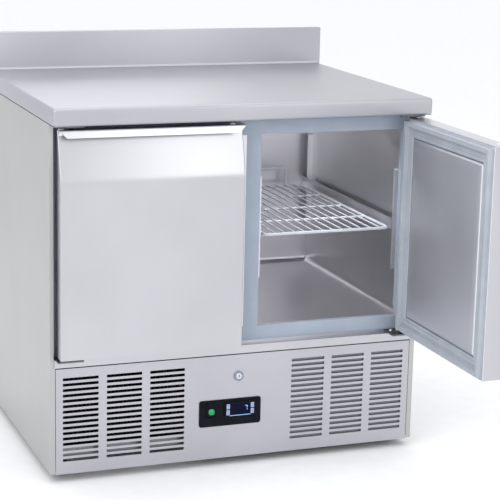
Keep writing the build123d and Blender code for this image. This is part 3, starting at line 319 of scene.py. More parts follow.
# ---------------------------------------------------------------- surfaces
@dataclass
class Shape:
    """Grids of points gathered into one mesh; every length given to it is in millimetres."""

    vertices: list[np.ndarray] = field(default_factory=list)
    faces: list[list[int]] = field(default_factory=list)
    count: int = 0

    def grid(self, points: np.ndarray, closed: tuple[bool, bool] = (False, True),
             caps: bool = True) -> "Shape":
        """Adds a surface: point (i, j) joins (i + 1, j), (i + 1, j + 1) and (i, j + 1) in one quad.

        Args:
            points: Positions with the shape (rows, columns, 3).
            closed: Whether the rows and the columns wrap round.
            caps: Whether the first and last rows are filled, for a closed section on an open path.

        Returns:
            This shape, so that calls can be chained.
        """
        rows, columns = points.shape[:2]
        i, j = np.meshgrid(np.arange(rows - (not closed[0])), np.arange(columns - (not closed[1])),
                           indexing="ij")
        down, across = (i + 1) % rows, (j + 1) % columns
        quads = np.stack([i * columns + j, down * columns + j, down * columns + across, i * columns + across],
                         axis=-1)
        self.faces += (quads.reshape(-1, 4) + self.count).tolist()
        if caps and not closed[0]:
            self.faces.append((np.arange(columns) + self.count).tolist())
            self.faces.append((np.arange(columns)[::-1] + (rows - 1) * columns + self.count).tolist())
        self.vertices.append(points.reshape(-1, 3))
        self.count += rows * columns
        return self

    def build(self, name: str, body: str, material: bpy.types.Material, stands_for: tuple[str, ...] = (),
              sharp: float = 35.0) -> None:
        """Makes the object, points its faces outwards and lets it ride on its body.

        Args:
            name: The piece's name.
            body: The body that carries it.
            material: Its finish.
            stands_for: The solids that it replaces.
            sharp: The angle in degrees past which an edge stays crisp.
        """
        mesh = bpy.data.meshes.new(name)
        mesh.from_pydata(np.concatenate(self.vertices) * MM, [], self.faces)
        work = bmesh.new()
        work.from_mesh(mesh)
        bmesh.ops.remove_doubles(work, verts=work.verts, dist=1e-6)
        bmesh.ops.recalc_face_normals(work, faces=work.faces)
        work.to_mesh(mesh)
        work.free()
        mesh.shade_smooth()
        mesh.set_sharp_from_angle(angle=math.radians(sharp))
        mesh.materials.append(material)
        piece = bpy.data.objects.new(name, mesh)
        bpy.context.scene.collection.objects.link(piece)
        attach(piece, body)
        if stands_for:
            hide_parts(*stands_for)
        LOG.info("%s rides on %s: %d faces", name, body, len(mesh.polygons))


def rounded_path(corners: np.ndarray, radius: float, closed: bool, steps: int = 8) -> np.ndarray:
    """Rounds a chain of corners: each is a quadratic curve from `radius` before it to `radius` after it.

    Args:
        corners: Corner points with the shape (n, 3).
        radius: The distance from a corner at which its curve starts and ends.
        closed: Whether the chain returns to its first corner.
        steps: Points on each curve.

    Returns:
        The path's points.
    """
    before, after = np.roll(corners, 1, axis=0), np.roll(corners, -1, axis=0)

    def toward(other: np.ndarray) -> np.ndarray:
        """The point on each corner's run to another at which its curve starts or ends."""
        run = other - corners
        return corners + radius * run / np.linalg.norm(run, axis=1, keepdims=True)

    t = np.linspace(0, 1, steps)[None, :, None]
    start, end = toward(before)[:, None], toward(after)[:, None]
    curve = (1 - t) ** 2 * start + 2 * t * (1 - t) * corners[:, None] + t ** 2 * end
    if closed:
        return curve.reshape(-1, 3)
    return np.concatenate([corners[:1], curve[1:-1].reshape(-1, 3), corners[-1:]])


def tube(path: np.ndarray, radius: float, up: Point, closed: bool = False, sides: int = 12) -> np.ndarray:
    """Carries a circle along a flat path: point = path + radius * (cos a * side + sin a * up).

    The unit vector `side` lies along run x up, so the circle stands square to the path.

    Args:
        path: Points with the shape (n, 3).
        radius: The circle's radius.
        up: The unit normal of the plane that the path lies in.
        closed: Whether the path returns to its start.
        sides: Points round the circle.

    Returns:
        A grid for Shape.grid.
    """
    run = np.roll(path, -1, axis=0) - np.roll(path, 1, axis=0) if closed else np.gradient(path, axis=0)
    side = np.cross(run, up)
    side /= np.linalg.norm(side, axis=1, keepdims=True)
    angle = np.linspace(0, 2 * np.pi, sides, endpoint=False)[None, :, None]
    return path[:, None] + radius * (np.cos(angle) * side[:, None] + np.sin(angle) * np.array(up))


def outline(width: float, height: float, radius: float, steps: int = 6) -> np.ndarray:
    """A rounded rectangle about the origin: four quarter circles joined by straight runs.

    Args:
        width: Overall width.
        height: Overall height.
        radius: Corner radius.
        steps: Points on each quarter circle.

    Returns:
        Points with the shape (4 * steps, 2), in order round the outline.
    """
    quarter = np.linspace(0, np.pi / 2, steps)
    angle = (quarter[None] + np.arange(4)[:, None] * np.pi / 2).ravel()
    signs = np.repeat(np.array([[1, 1], [-1, 1], [-1, -1], [1, -1]]), steps, axis=0)
    centre = signs * np.array([width / 2 - radius, height / 2 - radius])
    return centre + radius * np.stack([np.cos(angle), np.sin(angle)], axis=1)


def nested(profile: np.ndarray, middle: tuple[float, float], size: tuple[float, float], radius: float,
           steps: int = 6) -> np.ndarray:
    """Stacks rounded rectangles that face along Y: profile row k gives outline k's inset and its depth y.

    Args:
        profile: Rows of (inset, y).
        middle: The outlines' common centre, as (x, z).
        size: The outermost outline's width and height.
        radius: Its corner radius; an outline moved in by d has the radius less d, and at least 0.3.
        steps: Points on each corner.

    Returns:
        A grid for Shape.grid: a row per outline.
    """
    rings = [outline(size[0] - 2 * d, size[1] - 2 * d, max(radius - d, 0.3), steps) for d, _ in profile]
    flat = np.stack(rings)
    depth = np.broadcast_to(profile[:, 1][:, None], flat.shape[:2])
    return np.stack([flat[..., 0] + middle[0], depth, flat[..., 1] + middle[1]], axis=-1)


def lathe(profile: np.ndarray, centre: Point, axis: str, sides: int = 40) -> np.ndarray:
    """Turns a profile about an axis: each row of (radius, height) becomes a circle at that height.

    Args:
        profile: Rows of (radius, height along the axis).
        centre: A point on the axis.
        axis: "X", "Y" or "Z".
        sides: Points round each circle.

    Returns:
        A grid for Shape.grid.
    """
    angle = np.linspace(0, 2 * np.pi, sides, endpoint=False)[None]
    radius, height = profile[:, :1], profile[:, 1:2] + 0 * angle
    a, b = radius * np.cos(angle), radius * np.sin(angle)
    order = {"X": (height, a, b), "Y": (b, height, a), "Z": (a, b, height)}[axis]
    return np.stack(order, axis=-1) + np.array(centre)


def bar(x: tuple[float, float], y: tuple[float, float], z: tuple[float, float],
        edge: float = 0.4) -> np.ndarray:
    """A sheet or bar with softened edges: rounded rectangles in XZ stacked along Y, drawn in at the ends.

    Args:
        x: Limits along X.
        y: Limits along Y.
        z: Limits along Z.
        edge: The softened edges' radius.

    Returns:
        A grid for Shape.grid.
    """
    profile = np.array([(edge, y[0]), (edge * 0.3, y[0] + edge * 0.3), (0, y[0] + edge), (0, y[1] - edge),
                        (edge * 0.3, y[1] - edge * 0.3), (edge, y[1])])
    return nested(profile, (sum(x) / 2, sum(z) / 2), (x[1] - x[0], z[1] - z[0]), edge * 1.5 + 0.01, 4)


# ---------------------------------------------------------------- doors
class Side(Enum):
    """Left or right: the left door is closed and the right one stands open."""

    LEFT = "left"
    RIGHT = "right"


@dataclass(frozen=True)
class DoorSizes:
    """The doors' sizes, for the right one when closed."""

    inner_x: float
    outer_x: float
    low: float
    high: float
    face: float
    back: float
    cap: float
    sheet: float
    pin_x: float
    pin_y: float
    fold: float = 700.0
    lean: float = 29.0
    bend_square: float = 60.0  # mm2: about the square of the height over which the face bends
    settle: float = 0.12

    @classmethod
    def from_frame(cls) -> "DoorSizes":
        """Reads the sizes from the closed left door's solids and the pin's place from both doors' bushes.

        Returns:
            The sizes, in millimetres.
        """
        face = box_mm("door_skin_left")[0, 1]
        (left, front, low), (right, back, top) = box_mm("door_panel_left")
        high = box_mm("door_grip_left")[1, 2]
        return cls(inner_x=-right, outer_x=-left, low=low, high=high, face=face, back=back, cap=high - top,
                   sheet=back - front, pin_x=box_mm("door_bushes_right")[:, 0].mean(),
                   pin_y=box_mm("door_bushes_left")[:, 1].mean())

    def front(self, z: np.ndarray) -> np.ndarray:
        """The face's y at height z: plumb, then leaning back from the fold, with a soft bend between.

        With a = z - fold, y = face + slope * ((a + sqrt(a squared + bend_square)) / 2 - settle).

        Args:
            z: Heights.

        Returns:
            The face's y at each height.
        """
        above = z - self.fold
        slope = self.lean / (self.high - self.cap - self.fold)
        rise = (above + np.sqrt(above ** 2 + self.bend_square)) / 2
        return self.face + slope * (rise - self.settle)


@dataclass
class Door:
    """One insulated door: folded skin, grip rail, raised inner panel and magnetic seal."""

    side: Side
    made: Made
    sizes: DoorSizes
    skin_bend: float = 2.2
    rail_drop: float = 17.0
    rail_foot: float = 1.0  # the drop's foot lies this far behind the face
    rail_knee: float = 5.0  # and its knee this far
    rail_bend: float = 4.2
    proud: float = 2.5  # the height of the inner panel's field over its rim
    seal_inset: float = 4.0

    def build(self) -> None:
        """Builds every piece of the door."""
        self.skin()
        self.grip()
        self.field()
        self.seal()

    def name(self, stem: str) -> str:
        """A piece's name with this door's side."""
        return f"{stem}_{self.side.value}"

    @property
    def body(self) -> str:
        """The body that carries this door."""
        return self.name("door")

    def place(self, points: np.ndarray) -> np.ndarray:
        """Moves points of the closed right-hand door to this door.

        The left door is the mirror image in x. The right door is turned by a quarter turn about its pin.

        Args:
            points: Points with the shape (..., 3).

        Returns:
            The moved points, with the same shape.
        """
        if self.side is Side.LEFT:
            return points * np.array([-1, 1, 1])
        dx, dy = points[..., 0] - self.sizes.pin_x, points[..., 1] - self.sizes.pin_y
        return np.stack([self.sizes.pin_x - dy, self.sizes.pin_y + dx, points[..., 2]], axis=-1)

    def skin(self) -> None:
        """Folded skin: a U section whose front corners are bent, carried up the door, and the fold below it.

        For a section point at x and a distance e behind the face, y = min(front(z) + e, back).
        """
        s, bend = self.sizes, self.skin_bend
        behind = 90.0  # more than the door's depth, so that each leg ends at its back
        turn = np.linspace(0, np.pi / 2, 6)
        corner = np.stack([bend - bend * np.cos(turn), bend - bend * np.sin(turn)], axis=1)
        left = np.concatenate([[[bend, s.sheet], [s.sheet, bend], [s.sheet, behind], [0.0, behind]], corner])
        right = left[::-1] * np.array([-1, 1]) + np.array([s.outer_x - s.inner_x, 0])
        section = np.concatenate([left, right])
        z = np.concatenate([np.linspace(s.low, s.fold - 25, 6), np.linspace(s.fold - 20, s.fold + 20, 17),
                            np.linspace(s.fold + 30, s.high - s.cap, 5)])
        y = np.minimum(s.front(z)[:, None] + section[None, :, 1], s.back - s.sheet)
        x = np.broadcast_to(section[None, :, 0] + s.inner_x, y.shape)
        shell = np.stack([x, y, np.broadcast_to(z[:, None], y.shape)], axis=-1)
        floor = bar((s.inner_x + 0.2, s.outer_x - 0.2), (s.face + 0.2, s.back - s.sheet),
                    (s.low, s.low + s.sheet), 0.3)
        Shape().grid(self.place(shell)).grid(self.place(floor)).build(
            self.name("door_face"), self.body, self.made["front"], (self.name("door_skin"),), 40)

    def grip(self) -> None:
        """Grip rail: a folded strip whose drop flares forward, with both ends of the drop cut at 45 degrees.

        The section runs back along the cap, round the bend and down the drop, then returns inside it. A point
        that lies h below the cap has its end moved in by h.
        """
        s = self.sizes
        lip_y = np.array([0.2, s.cap - 0.2]) + s.face + self.rail_foot
        lip = np.column_stack([lip_y, np.full(2, s.high - self.rail_drop - 0.35)])
        section = np.concatenate([self.strip(0.0), lip, self.strip(s.cap)[::-1]])
        cut = np.maximum(s.high - s.cap - 0.8 - section[:, 1], 0.0)
        u = np.linspace(0, 1, 13)[:, None]
        x = (s.inner_x + cut)[None] * (1 - u) + (s.outer_x - cut)[None] * u
        y, z = (np.broadcast_to(section[:, k], x.shape) for k in (0, 1))
        Shape().grid(self.place(np.stack([x, y, z], axis=-1))).build(
            self.name("grip_rail"), self.body, self.made["grip"], (self.name("door_grip"),), 30)

    def strip(self, inset: float) -> np.ndarray:
        """One side of the grip rail's sheet: the cap, a quadratic curve round the knee, and the drop.

        Args:
            inset: 0 for the outer side, or the sheet's thickness for the inner one.

        Returns:
            Rows of (y, z).
        """
        s = self.sizes
        knee = np.array([s.face + self.rail_knee + inset, s.high - inset])
        foot = np.array([s.face + self.rail_foot + inset, s.high - self.rail_drop])
        start = knee + [self.rail_bend - inset, 0]
        end = knee + (foot - knee) * (self.rail_bend - inset) / (self.rail_drop + 0.5)
        t = np.linspace(0, 1, 8)[:, None]
        arc = (1 - t) ** 2 * start + 2 * t * (1 - t) * knee + t ** 2 * end
        return np.concatenate([[[s.back - s.sheet, s.high - inset]], arc, [foot]])

    def field(self) -> None:
        """Pressed inner panel: a flat rim under the seal and a field that stands proud inside it."""
        s, proud = self.sizes, self.proud
        middle = ((s.inner_x + s.outer_x) / 2, (s.low + s.high - s.cap) / 2)
        size = (s.outer_x - s.inner_x, s.high - s.cap - s.low)
        profile = np.array([(0.0, -s.sheet), (0.0, -0.3), (0.3, 0.0), (44.5, 0.0), (45.5, 0.4), (46.6, 1.6),
                            (47.4, 2.2), (48.6, proud), (70.0, proud), (120.0, proud), (190.0, proud)])
        grid = nested(profile + [0, s.back], middle, size, 3.0, 5)
        Shape().grid(self.place(grid)).build(
            self.name("inner_panel"), self.body, self.made["inner_door"], (self.name("door_panel"),), 30)

    def seal(self) -> None:
        """Extruded seal, with a wing, a hollow-crowned magnet bulb and two bellows ribs, and the profile that
        holds it, coloured dark grey as painted shade for the gap inside the seal.

        Each row of the sections is (distance in from the outer edge, height above the inner panel).
        """
        s, inset = self.sizes, self.seal_inset
        section = np.array([
            (0.0, 0.0), (0.0, 1.4), (0.5, 2.2), (1.9, 2.4), (2.1, 3.4), (2.0, 9.0), (2.6, 11.0), (3.8, 11.6),
            (6.4, 11.5), (8.0, 11.2), (9.6, 11.5), (12.2, 11.6), (13.4, 11.0), (14.0, 9.2), (14.0, 4.6),
            (14.8, 2.8), (17.0, 2.4), (21.0, 2.6), (23.4, 3.8), (25.0, 4.0), (26.6, 3.6), (28.0, 2.4),
            (30.0, 2.2), (32.0, 2.6), (33.6, 3.6), (35.0, 3.7), (36.4, 3.2), (37.4, 1.8), (38.0, 0.6),
            (38.0, 0.0)])
        channel = np.array([(38.2, 0.0), (38.2, 1.1), (38.6, 1.4), (40.0, 1.4), (40.3, 1.1), (40.3, 0.0)])
        middle = ((s.inner_x + s.outer_x) / 2, (s.low + s.high) / 2)
        size = (s.outer_x - s.inner_x - 2 * inset, s.high - s.low - 2 * inset)
        for stem, rows, finish, stands_for, sharp in (
                ("magnetic_seal", section, "seal", (self.name("door_gasket"),), 25),
                ("seal_channel", channel, "channel", (), 30)):
            ring = nested(rows + [0, s.back], middle, size, inset, 5)
            Shape().grid(self.place(ring), (True, True), False).build(
                self.name(stem), self.body, self.made[finish], stands_for, sharp)


# ---------------------------------------------------------------- shelves
@dataclass
class WireShelf:
    """Coated wire shelf: rim, cross rods, wires from front to back and the raised stop at the rear."""

    side: Side
    made: Made
    rim: float = 3.5
    wire: float = 1.8
    cross: float = 2.8
    wires: int = 12
    crosses: int = 3
    stop_inset: float = 44.0
    rim_corner: float = 14.0
    stop_corner: float = 12.0

    def build(self) -> None:
        """Builds the shelf as one welded piece of tubes with domed coating at their ends."""
        body = f"shelf_{self.side.value}"
        (left, front, level), (right, back, top) = box_mm(body) + np.array([[self.rim], [-self.rim]])
        corners = np.array([(left, front), (right, front), (right, back), (left, back)])
        rim = rounded_path(np.column_stack([corners, np.full(4, level)]), self.rim_corner, True, 10)
        shape = Shape().grid(tube(rim, self.rim, (0, 0, 1), True, 14), (True, True), False)
        above, below = level + self.rim, level - 0.5
        for x in np.linspace(left, right, self.wires + 2)[1:-1]:
            shape.grid(self.straight((x, front, above), (x, back, above), self.wire))
        for y in np.linspace(front, back, self.crosses + 2)[1:-1]:
            shape.grid(self.straight((left, y, below), (right, y, below), self.cross))
        near, far = left + self.stop_inset, right - self.stop_inset
        stop = np.array([(near, back, level), (near, back, top), (far, back, top), (far, back, level)])
        bow = rounded_path(stop, self.stop_corner, False, 10)
        shape.grid(tube(bow, self.rim, (0, 1, 0), False, 14))
        shape.build(f"wire_{body}", body, self.made["coat"], (body,), 60)

    def straight(self, start: Point, end: Point, radius: float) -> np.ndarray:
        """A straight wire with rounded ends: circles whose radius falls away over the last radius.

        Args:
            start: One end's centre.
            end: The other end's centre.
            radius: The wire's radius.

        Returns:
            A grid for Shape.grid.
        """
        along = np.array([0.0, 0.15, 0.5, 1.0])
        share = np.array([0.35, 0.7, 0.92, 1.0])
        length = math.dist(start, end)
        t = np.concatenate([along * radius, [length / 2], length - along[::-1] * radius]) / length
        path = np.array(start) * (1 - t[:, None]) + np.array(end) * t[:, None]
        taper = np.concatenate([share, [1.0], share[::-1]])
        circle = tube(path, 1.0, (0, 0, 1), False, 10) - path[:, None]
        return path[:, None] + circle * radius * taper[:, None, None]


# ---------------------------------------------------------------- worktop
@dataclass
class Worktop:
    """Folded worktop: a slab with rolled edges, a hollow upstand and the cove between them."""

    made: Made
    thickness: float = 40.0
    roll: float = 7.0
    upstand: float = 18.0
    upstand_bend: float = 2.5
    cove: float = 6.0
    half: float = field(init=False)
    front: float = field(init=False)
    back: float = field(init=False)
    low: float = field(init=False)
    top: float = field(init=False)
    upstand_top: float = field(init=False)

    def __post_init__(self) -> None:
        """Reads the overall sizes from the frame."""
        (_, self.front, self.low), (self.half, self.back, self.upstand_top) = box_mm("worktop")
        self.top = self.low + self.thickness

    def build(self) -> None:
        """Builds the slab, the upstand, the cove and the flat hem over each side panel as one piece."""
        shape = Shape().grid(self.slab()).grid(self.wall()).grid(self.cove_strip())
        for side in (-1, 1):
            hem = sorted((side * (self.half - 0.3), side * (self.half - self.roll - 3.0)))
            shape.grid(bar((hem[0], hem[1]), (self.front + 3.0, self.back - 1.0),
                           (self.low, self.low + 0.8), 0.25))
        shape.build("worktop_sheet", "cabinet", self.made["top"], ("worktop",), 40)

    def slab(self) -> np.ndarray:
        """Rounded rectangles stacked up Z, drawn in by a quarter circle at the lower and upper edges.

        Returns:
            A grid for Shape.grid: a row per rectangle.
        """
        a = np.linspace(0, np.pi / 2, 8)
        lower = np.stack([self.roll * (1 - np.sin(a)), self.low + self.roll * (1 - np.cos(a))], axis=1)
        upper = np.stack([self.roll * (1 - np.cos(a)), self.top - self.roll * (1 - np.sin(a))], axis=1)
        under = [(75.0, self.low + 1.2), (75.0, self.low)]
        over = [(inset, self.top) for inset in (20.0, 60.0, 150.0, 330.0)]
        profile = np.concatenate([under, lower, [(0.0, (self.low + self.top) / 2)], upper, over])
        width, depth = 2 * self.half, self.back - self.front
        rings = np.stack([outline(width - 2 * d, depth - 2 * d, max(self.roll - d, 0.4)) for d, _ in profile])
        height = np.broadcast_to(profile[:, 1][:, None], rings.shape[:2])
        return np.stack([rings[..., 0], rings[..., 1] + (self.front + self.back) / 2, height], axis=-1)

    def wall(self) -> np.ndarray:
        """Upstand: its section, with bends along the top, carried along X and drawn in at its ends.

        Returns:
            A grid for Shape.grid: a row per section.
        """
        a = np.linspace(0, np.pi / 2, 6)
        bend, draw = self.upstand_bend, 0.6
        near, far, foot, top = self.back - self.upstand, self.back, self.top - 8, self.upstand_top
        fore = np.stack([near + bend - bend * np.cos(a), top - bend + bend * np.sin(a)], axis=1)
        rear = np.stack([far - bend + bend * np.sin(a), top - bend + bend * np.cos(a)], axis=1)
        section = np.concatenate([[[near, foot]], fore, rear, [[far, foot]]])
        end = self.half
        x = np.array([-end, -end + 0.2, -end + draw, 0, end - draw, end - 0.2, end])
        inset = np.array([draw, 0.2, 0, 0, 0, 0.2, draw])[:, None]
        sign = np.sign(section - np.array([(near + far) / 2, (foot + top) / 2]))
        y = section[None, :, 0] - inset * sign[None, :, 0]
        z = section[None, :, 1] - inset * sign[None, :, 1]
        return np.stack([np.broadcast_to(x[:, None], y.shape), y, z], axis=-1)

    def cove_strip(self) -> np.ndarray:
        """Cove: a hollow quarter circle from the worktop's surface to the upstand, carried along X.

        Returns:
            A grid for Shape.grid: a row per section.
        """
        a = np.linspace(0, np.pi / 2, 8)
        near, r, rows = self.back - self.upstand, self.cove, 5
        hollow = np.stack([near - r + r * np.sin(a), self.top + 0.02 + r - r * np.cos(a)], axis=1)
        sunk = [[near + 1, self.top + r], [near + 1, self.top - 1], [near - r, self.top - 1]]
        section = np.concatenate([hollow, sunk])
        end = self.half - self.roll - 0.5
        x = np.broadcast_to(np.linspace(-end, end, rows)[:, None], (rows, len(section)))
        y, z = (np.broadcast_to(section[:, k], x.shape) for k in (0, 1))
        return np.stack([x, y, z], axis=-1)


# ---------------------------------------------------------------- controls
@dataclass
class Controls:
    """Details on the control plate: rocker lens, display, key marks, screen strip and the lock's face."""

    made: Made
    lens_size: tuple[float, float] = (14.4, 13.8)
    lens_corner: float = 5.6
    lens_lean: float = -14.0  # degrees
    digit_width: float = 6.0
    digit_height: float = 11.5
    stroke: float = 1.1
    plate: float = field(init=False)
    face: float = field(init=False)
    switch_x: float = field(init=False)
    controller_x: float = field(init=False)
    height: float = field(init=False)

    def __post_init__(self) -> None:
        """Finds the plate, the switch and the controller in the frame."""
        self.plate = box_mm("control_plate")[0, 1]
        self.switch_x = box_mm("switch_housing")[:, 0].mean()
        controller = box_mm("controller_body")
        self.face = controller[0, 1]
        self.controller_x, _, self.height = controller.mean(axis=0)

    def build(self) -> None:
        """Builds every small piece of the controls."""
        self.lens()
        self.display()
        self.key_marks()
        self.screen_strip()
        self.lock_face()

    def lens(self) -> None:
        """Green lens in the rocker's lower half: a shallow dome, turned about X with the rocker's face."""
        lean = math.radians(self.lens_lean)
        pivot_y, pivot_z = self.plate + 8.0, self.height
        profile = np.array([(0.0, -9.2), (0.0, -9.8), (0.3, -10.2), (1.0, -10.5), (2.4, -10.7), (5.0, -10.8)])
        grid = nested(profile, (self.switch_x + 1.2, -5.4), self.lens_size, self.lens_corner, 8)
        y, z = grid[..., 1], grid[..., 2] + 0.6
        turned = np.stack([grid[..., 0], pivot_y + y * math.cos(lean) - z * math.sin(lean),
                           pivot_z + y * math.sin(lean) + z * math.cos(lean)], axis=-1)
        Shape().grid(turned).build("rocker_lens", "switch_rocker", self.made["lens"], (), 40)

    def display(self) -> None:
        """The digit seven and a degree ring behind the smoked window, as thin lit bars and a bent tube."""
        width, tall, gap = self.digit_width, self.digit_height, 1.2
        flat, upright = (width - gap, self.stroke), (self.stroke, tall / 2 - gap)
        middle_x, middle_z = self.controller_x + 14.0, self.height + 1.5
        shape = Shape()
        for across, up, (w, h) in ((0, 1, flat), (1, 0.5, upright), (1, -0.5, upright)):
            x, z = middle_x + across * width / 2, middle_z + up * tall / 2
            shape.grid(bar((x - w / 2, x + w / 2), (self.face - 0.02, self.face + 0.18),
                           (z - h / 2, z + h / 2), 0.08))
        square = np.array([(-1, 0, -1), (1, 0, -1), (1, 0, 1), (-1, 0, 1)]) * 1.3
        centre = np.array([self.controller_x + 17.5, self.face + 0.1, self.height + 5.5])
        ring = tube(rounded_path(square + centre, 1.25, True, 6), 0.35, (0, 1, 0), True, 6)
        shape.grid(ring, (True, True), False)
        shape.build("display_digits", "lower_panel", self.made["digit"], (), 30)

    def key_marks(self) -> None:
        """Printed marks on the keys, which move with them: three bars, the middle one the widest."""
        for key in ("key_up", "key_down", "key_set", "key_defrost"):
            box = box_mm(key)
            x, _, z = box.mean(axis=0)
            y = (box[0, 1] - 0.12, box[0, 1] + 0.1)
            shape = Shape()
            for step in (-1, 0, 1):
                reach, height = 2.6 - 0.6 * abs(step), z + 3.4 * step
                shape.grid(bar((x - reach, x + reach), y, (height - 0.5, height + 0.5), 0.08))
            shape.build(f"{key}_mark", key, self.made["ink"], (), 30)

    def screen_strip(self) -> None:
        """Pale printed strip under the screen."""
        reach = 26.0
        strip = bar((self.controller_x - reach, self.controller_x + reach),
                    (self.face - 0.16, self.face + 0.1), (self.height - 16.0, self.height - 14.2), 0.08)
        Shape().grid(strip).build("screen_strip", "lower_panel", self.made["print"], (), 30)

    def lock_face(self) -> None:
        """Turned face of the lock barrel: a dished ring round the keyhole, and a black bar in the keyhole as
        painted shade.
        """
        x, _, z = box_mm("lock_housing").mean(axis=0)
        y = box_mm("lock_barrel")[0, 1]
        profile = np.array([(3.9, 0.4), (3.9, -0.2), (4.5, -0.5), (5.6, -0.5), (6.3, -0.2), (6.6, 0.2)])
        ring = lathe(profile + [0, y], (x, 0.0, z), "Y", 36)
        Shape().grid(np.concatenate([ring, ring[:1]]), (False, True), False).build(
            "lock_face", "lock_barrel", self.made["bright"], (), 40)
        # The keyhole is a black bar: painted shade for its depth.
        slot = bar((x - 0.75, x + 0.75), (y + 0.25, y + 0.9), (z - 3.3, z + 3.3), 0.1)
        Shape().grid(slot).build("keyway_painted_shade", "lock_barrel", self.made["black"], (), 40)


# ---------------------------------------------------------------- castors and screws
@dataclass
class Wheel:
    """One castor wheel: a rubber tread on a nylon centre with a raised hub."""

    name: str
    made: Made

    def build(self) -> None:
        """Builds the tread and the centre, each a turned profile about the wheel's axis."""
        low, high = box_mm(self.name)
        centre = tuple((low + high) / 2)
        radius, half = (high[2] - low[2]) / 2, (high[0] - low[0]) / 2
        tread = [(radius - 5, 1 - half), (radius - 4.4, 0.2 - half), (radius - 2.0, 0.1 - half),
                 (radius - 0.6, 0.9 - half), (radius, 2.4 - half)]
        core = [(3.06, -half), (5.4, -half), (6.0, 0.5 - half), (6.4, 2.4 - half), (11.6, 2.6 - half),
                (12.2, 1.2 - half), (13.2, 1.0 - half)]
        for stem, rows, finish in (("tread", tread, "tread"), ("centre", core, "white")):
            near = np.array(rows)
            profile = np.concatenate([near, near[::-1] * np.array([1, -1])])
            Shape().grid(lathe(profile, centre, "X", 48), (True, True), False).build(
                f"{self.name}_{stem}", self.name, self.made[finish], (self.name,), 40)


@dataclass
class HingeScrews:
    """Pan-head screws that hold the hinge brackets: a domed head with a round recess, on its shank."""

    made: Made
    head: float = 4.8
    pitch: float = 18.0
    length: float = 11.7

    def build(self) -> None:
        """Builds the eight screws: at the height 0.5 + 2.1 sin(90u), a head is 1 - 0.45 u squared as wide."""
        low, high = box_mm("hinge_screws")
        outer, y = high[0] - self.head, (low[1] + high[1]) / 2
        u = np.linspace(0, 1, 7)
        dome = np.stack([self.head * (1 - u ** 2 * 0.45), 0.5 + 2.1 * np.sin(u * np.pi / 2)], axis=1)
        recess = [(2.2, 2.6), (1.6, 1.5), (0.8, 1.1)]
        head = np.concatenate([[(2.4, 0.0), (2.5, 0.0), (self.head, 0.0)], dome, recess])
        shape = Shape()
        for x in (outer - self.pitch, outer):
            for side in (-1, 1):
                for seat, way, tip in ((high[2] - self.length, -1, self.length - 0.2),
                                       (low[2] + self.length, 1, self.length)):
                    profile = np.concatenate([[(0.8, -tip), (2.4, -10.8)], head])
                    shape.grid(lathe(profile * np.array([1, way]), (side * x, y, seat), "Z", 20))
        shape.build("pan_head_screws", "cabinet", self.made["bright"], ("hinge_screws",), 35)


# ---------------------------------------------------------------- studio
@dataclass(frozen=True)
class Softbox:
    """One square soft light, in metres and watts."""

    name: str
    place: Point
    target: Point
    size: float
    power: float

    def build(self) -> None:
        """Adds the light, facing its target."""
        data = bpy.data.lights.new(self.name, "AREA")
        data.energy, data.size = self.power, self.size
        lamp = bpy.data.objects.new(self.name, data)
        lamp.location = self.place
        lamp.rotation_mode = "QUATERNION"
        lamp.rotation_quaternion = (Vector(self.target) - Vector(self.place)).to_track_quat("-Z", "Y")
        bpy.context.scene.collection.objects.link(lamp)


SOFTBOXES = (
    Softbox("key", (-2.6, -2.6, 2.8), (0.0, 0.0, 0.6), 2.4, 50.0),
    Softbox("fill", (1.7, -4.2, 1.9), (0.0, -0.2, 0.6), 1.7, 17.0),
    Softbox("top", (0.0, 0.0, 3.4), (0.0, 0.0, 0.6), 2.6, 20.0),
    Softbox("rear", (0.5, 3.3, 1.75), (-0.2, 0.0, 0.86), 1.3, 6.5),
    Softbox("cavity", (0.24, -0.12, 0.774), (0.24, 0.05, 0.3), 0.26, 1.4),
)


@dataclass(frozen=True)
class Studio:
    """Camera, soft lights, pale surroundings and floor, in metres and degrees."""

    place: Point = (-1.3221, -3.8561, 1.3916)
    azimuth: float = -20.7416
    elevation: float = 13.0045
    roll: float = 1.3411
    lens: float = 122.39
    brightness: float = 1.12
    floor_half: float = 60.0

    def build(self) -> None:
        """Puts the camera, the lights, the world and the floor in the scene."""
        self.camera()
        for light in SOFTBOXES:
            light.build()
        world = bpy.data.worlds.new("studio")
        world.use_nodes = True
        background = world.node_tree.nodes["Background"]
        background.inputs["Color"].default_value = linear("#f7f8fa")
        background.inputs["Strength"].default_value = self.brightness
        bpy.context.scene.world = world
        bpy.context.scene.view_settings.view_transform = "Standard"
        self.floor()

    def camera(self) -> None:
        """Adds the camera: it looks back along its azimuth and elevation, and is rolled about that line."""
        az, el, roll = (math.radians(v) for v in (self.azimuth, self.elevation, self.roll))
        back = Vector((math.sin(az) * math.cos(el), -math.cos(az) * math.cos(el), math.sin(el)))
        right = Vector((math.cos(az), math.sin(az), 0.0))
        up = back.cross(right)
        turned = right * math.cos(roll) + up * math.sin(roll)
        raised = up * math.cos(roll) - right * math.sin(roll)
        data = bpy.data.cameras.new("camera")
        data.lens, data.sensor_width = self.lens, 36.0
        data.clip_start, data.clip_end = 0.05, 200.0
        camera = bpy.data.objects.new("camera", data)
        camera.matrix_world = Matrix((turned, raised, back)).transposed().to_4x4()
        camera.location = self.place
        bpy.context.scene.collection.objects.link(camera)
        bpy.context.scene.camera = camera

    def floor(self) -> None:
        """Lays the pale floor: one large square just under the castors."""
        half, level = self.floor_half, -0.5 * MM
        corners = [(x * half, y * half, level) for x, y in ((-1, -1), (1, -1), (1, 1), (-1, 1))]
        mesh = bpy.data.meshes.new("floor")
        mesh.from_pydata(corners, [], [(0, 1, 2, 3)])
        mesh.materials.append(FINISHES["studio"].build())
        floor = bpy.data.objects.new("floor", mesh)
        bpy.context.scene.collection.objects.link(floor)


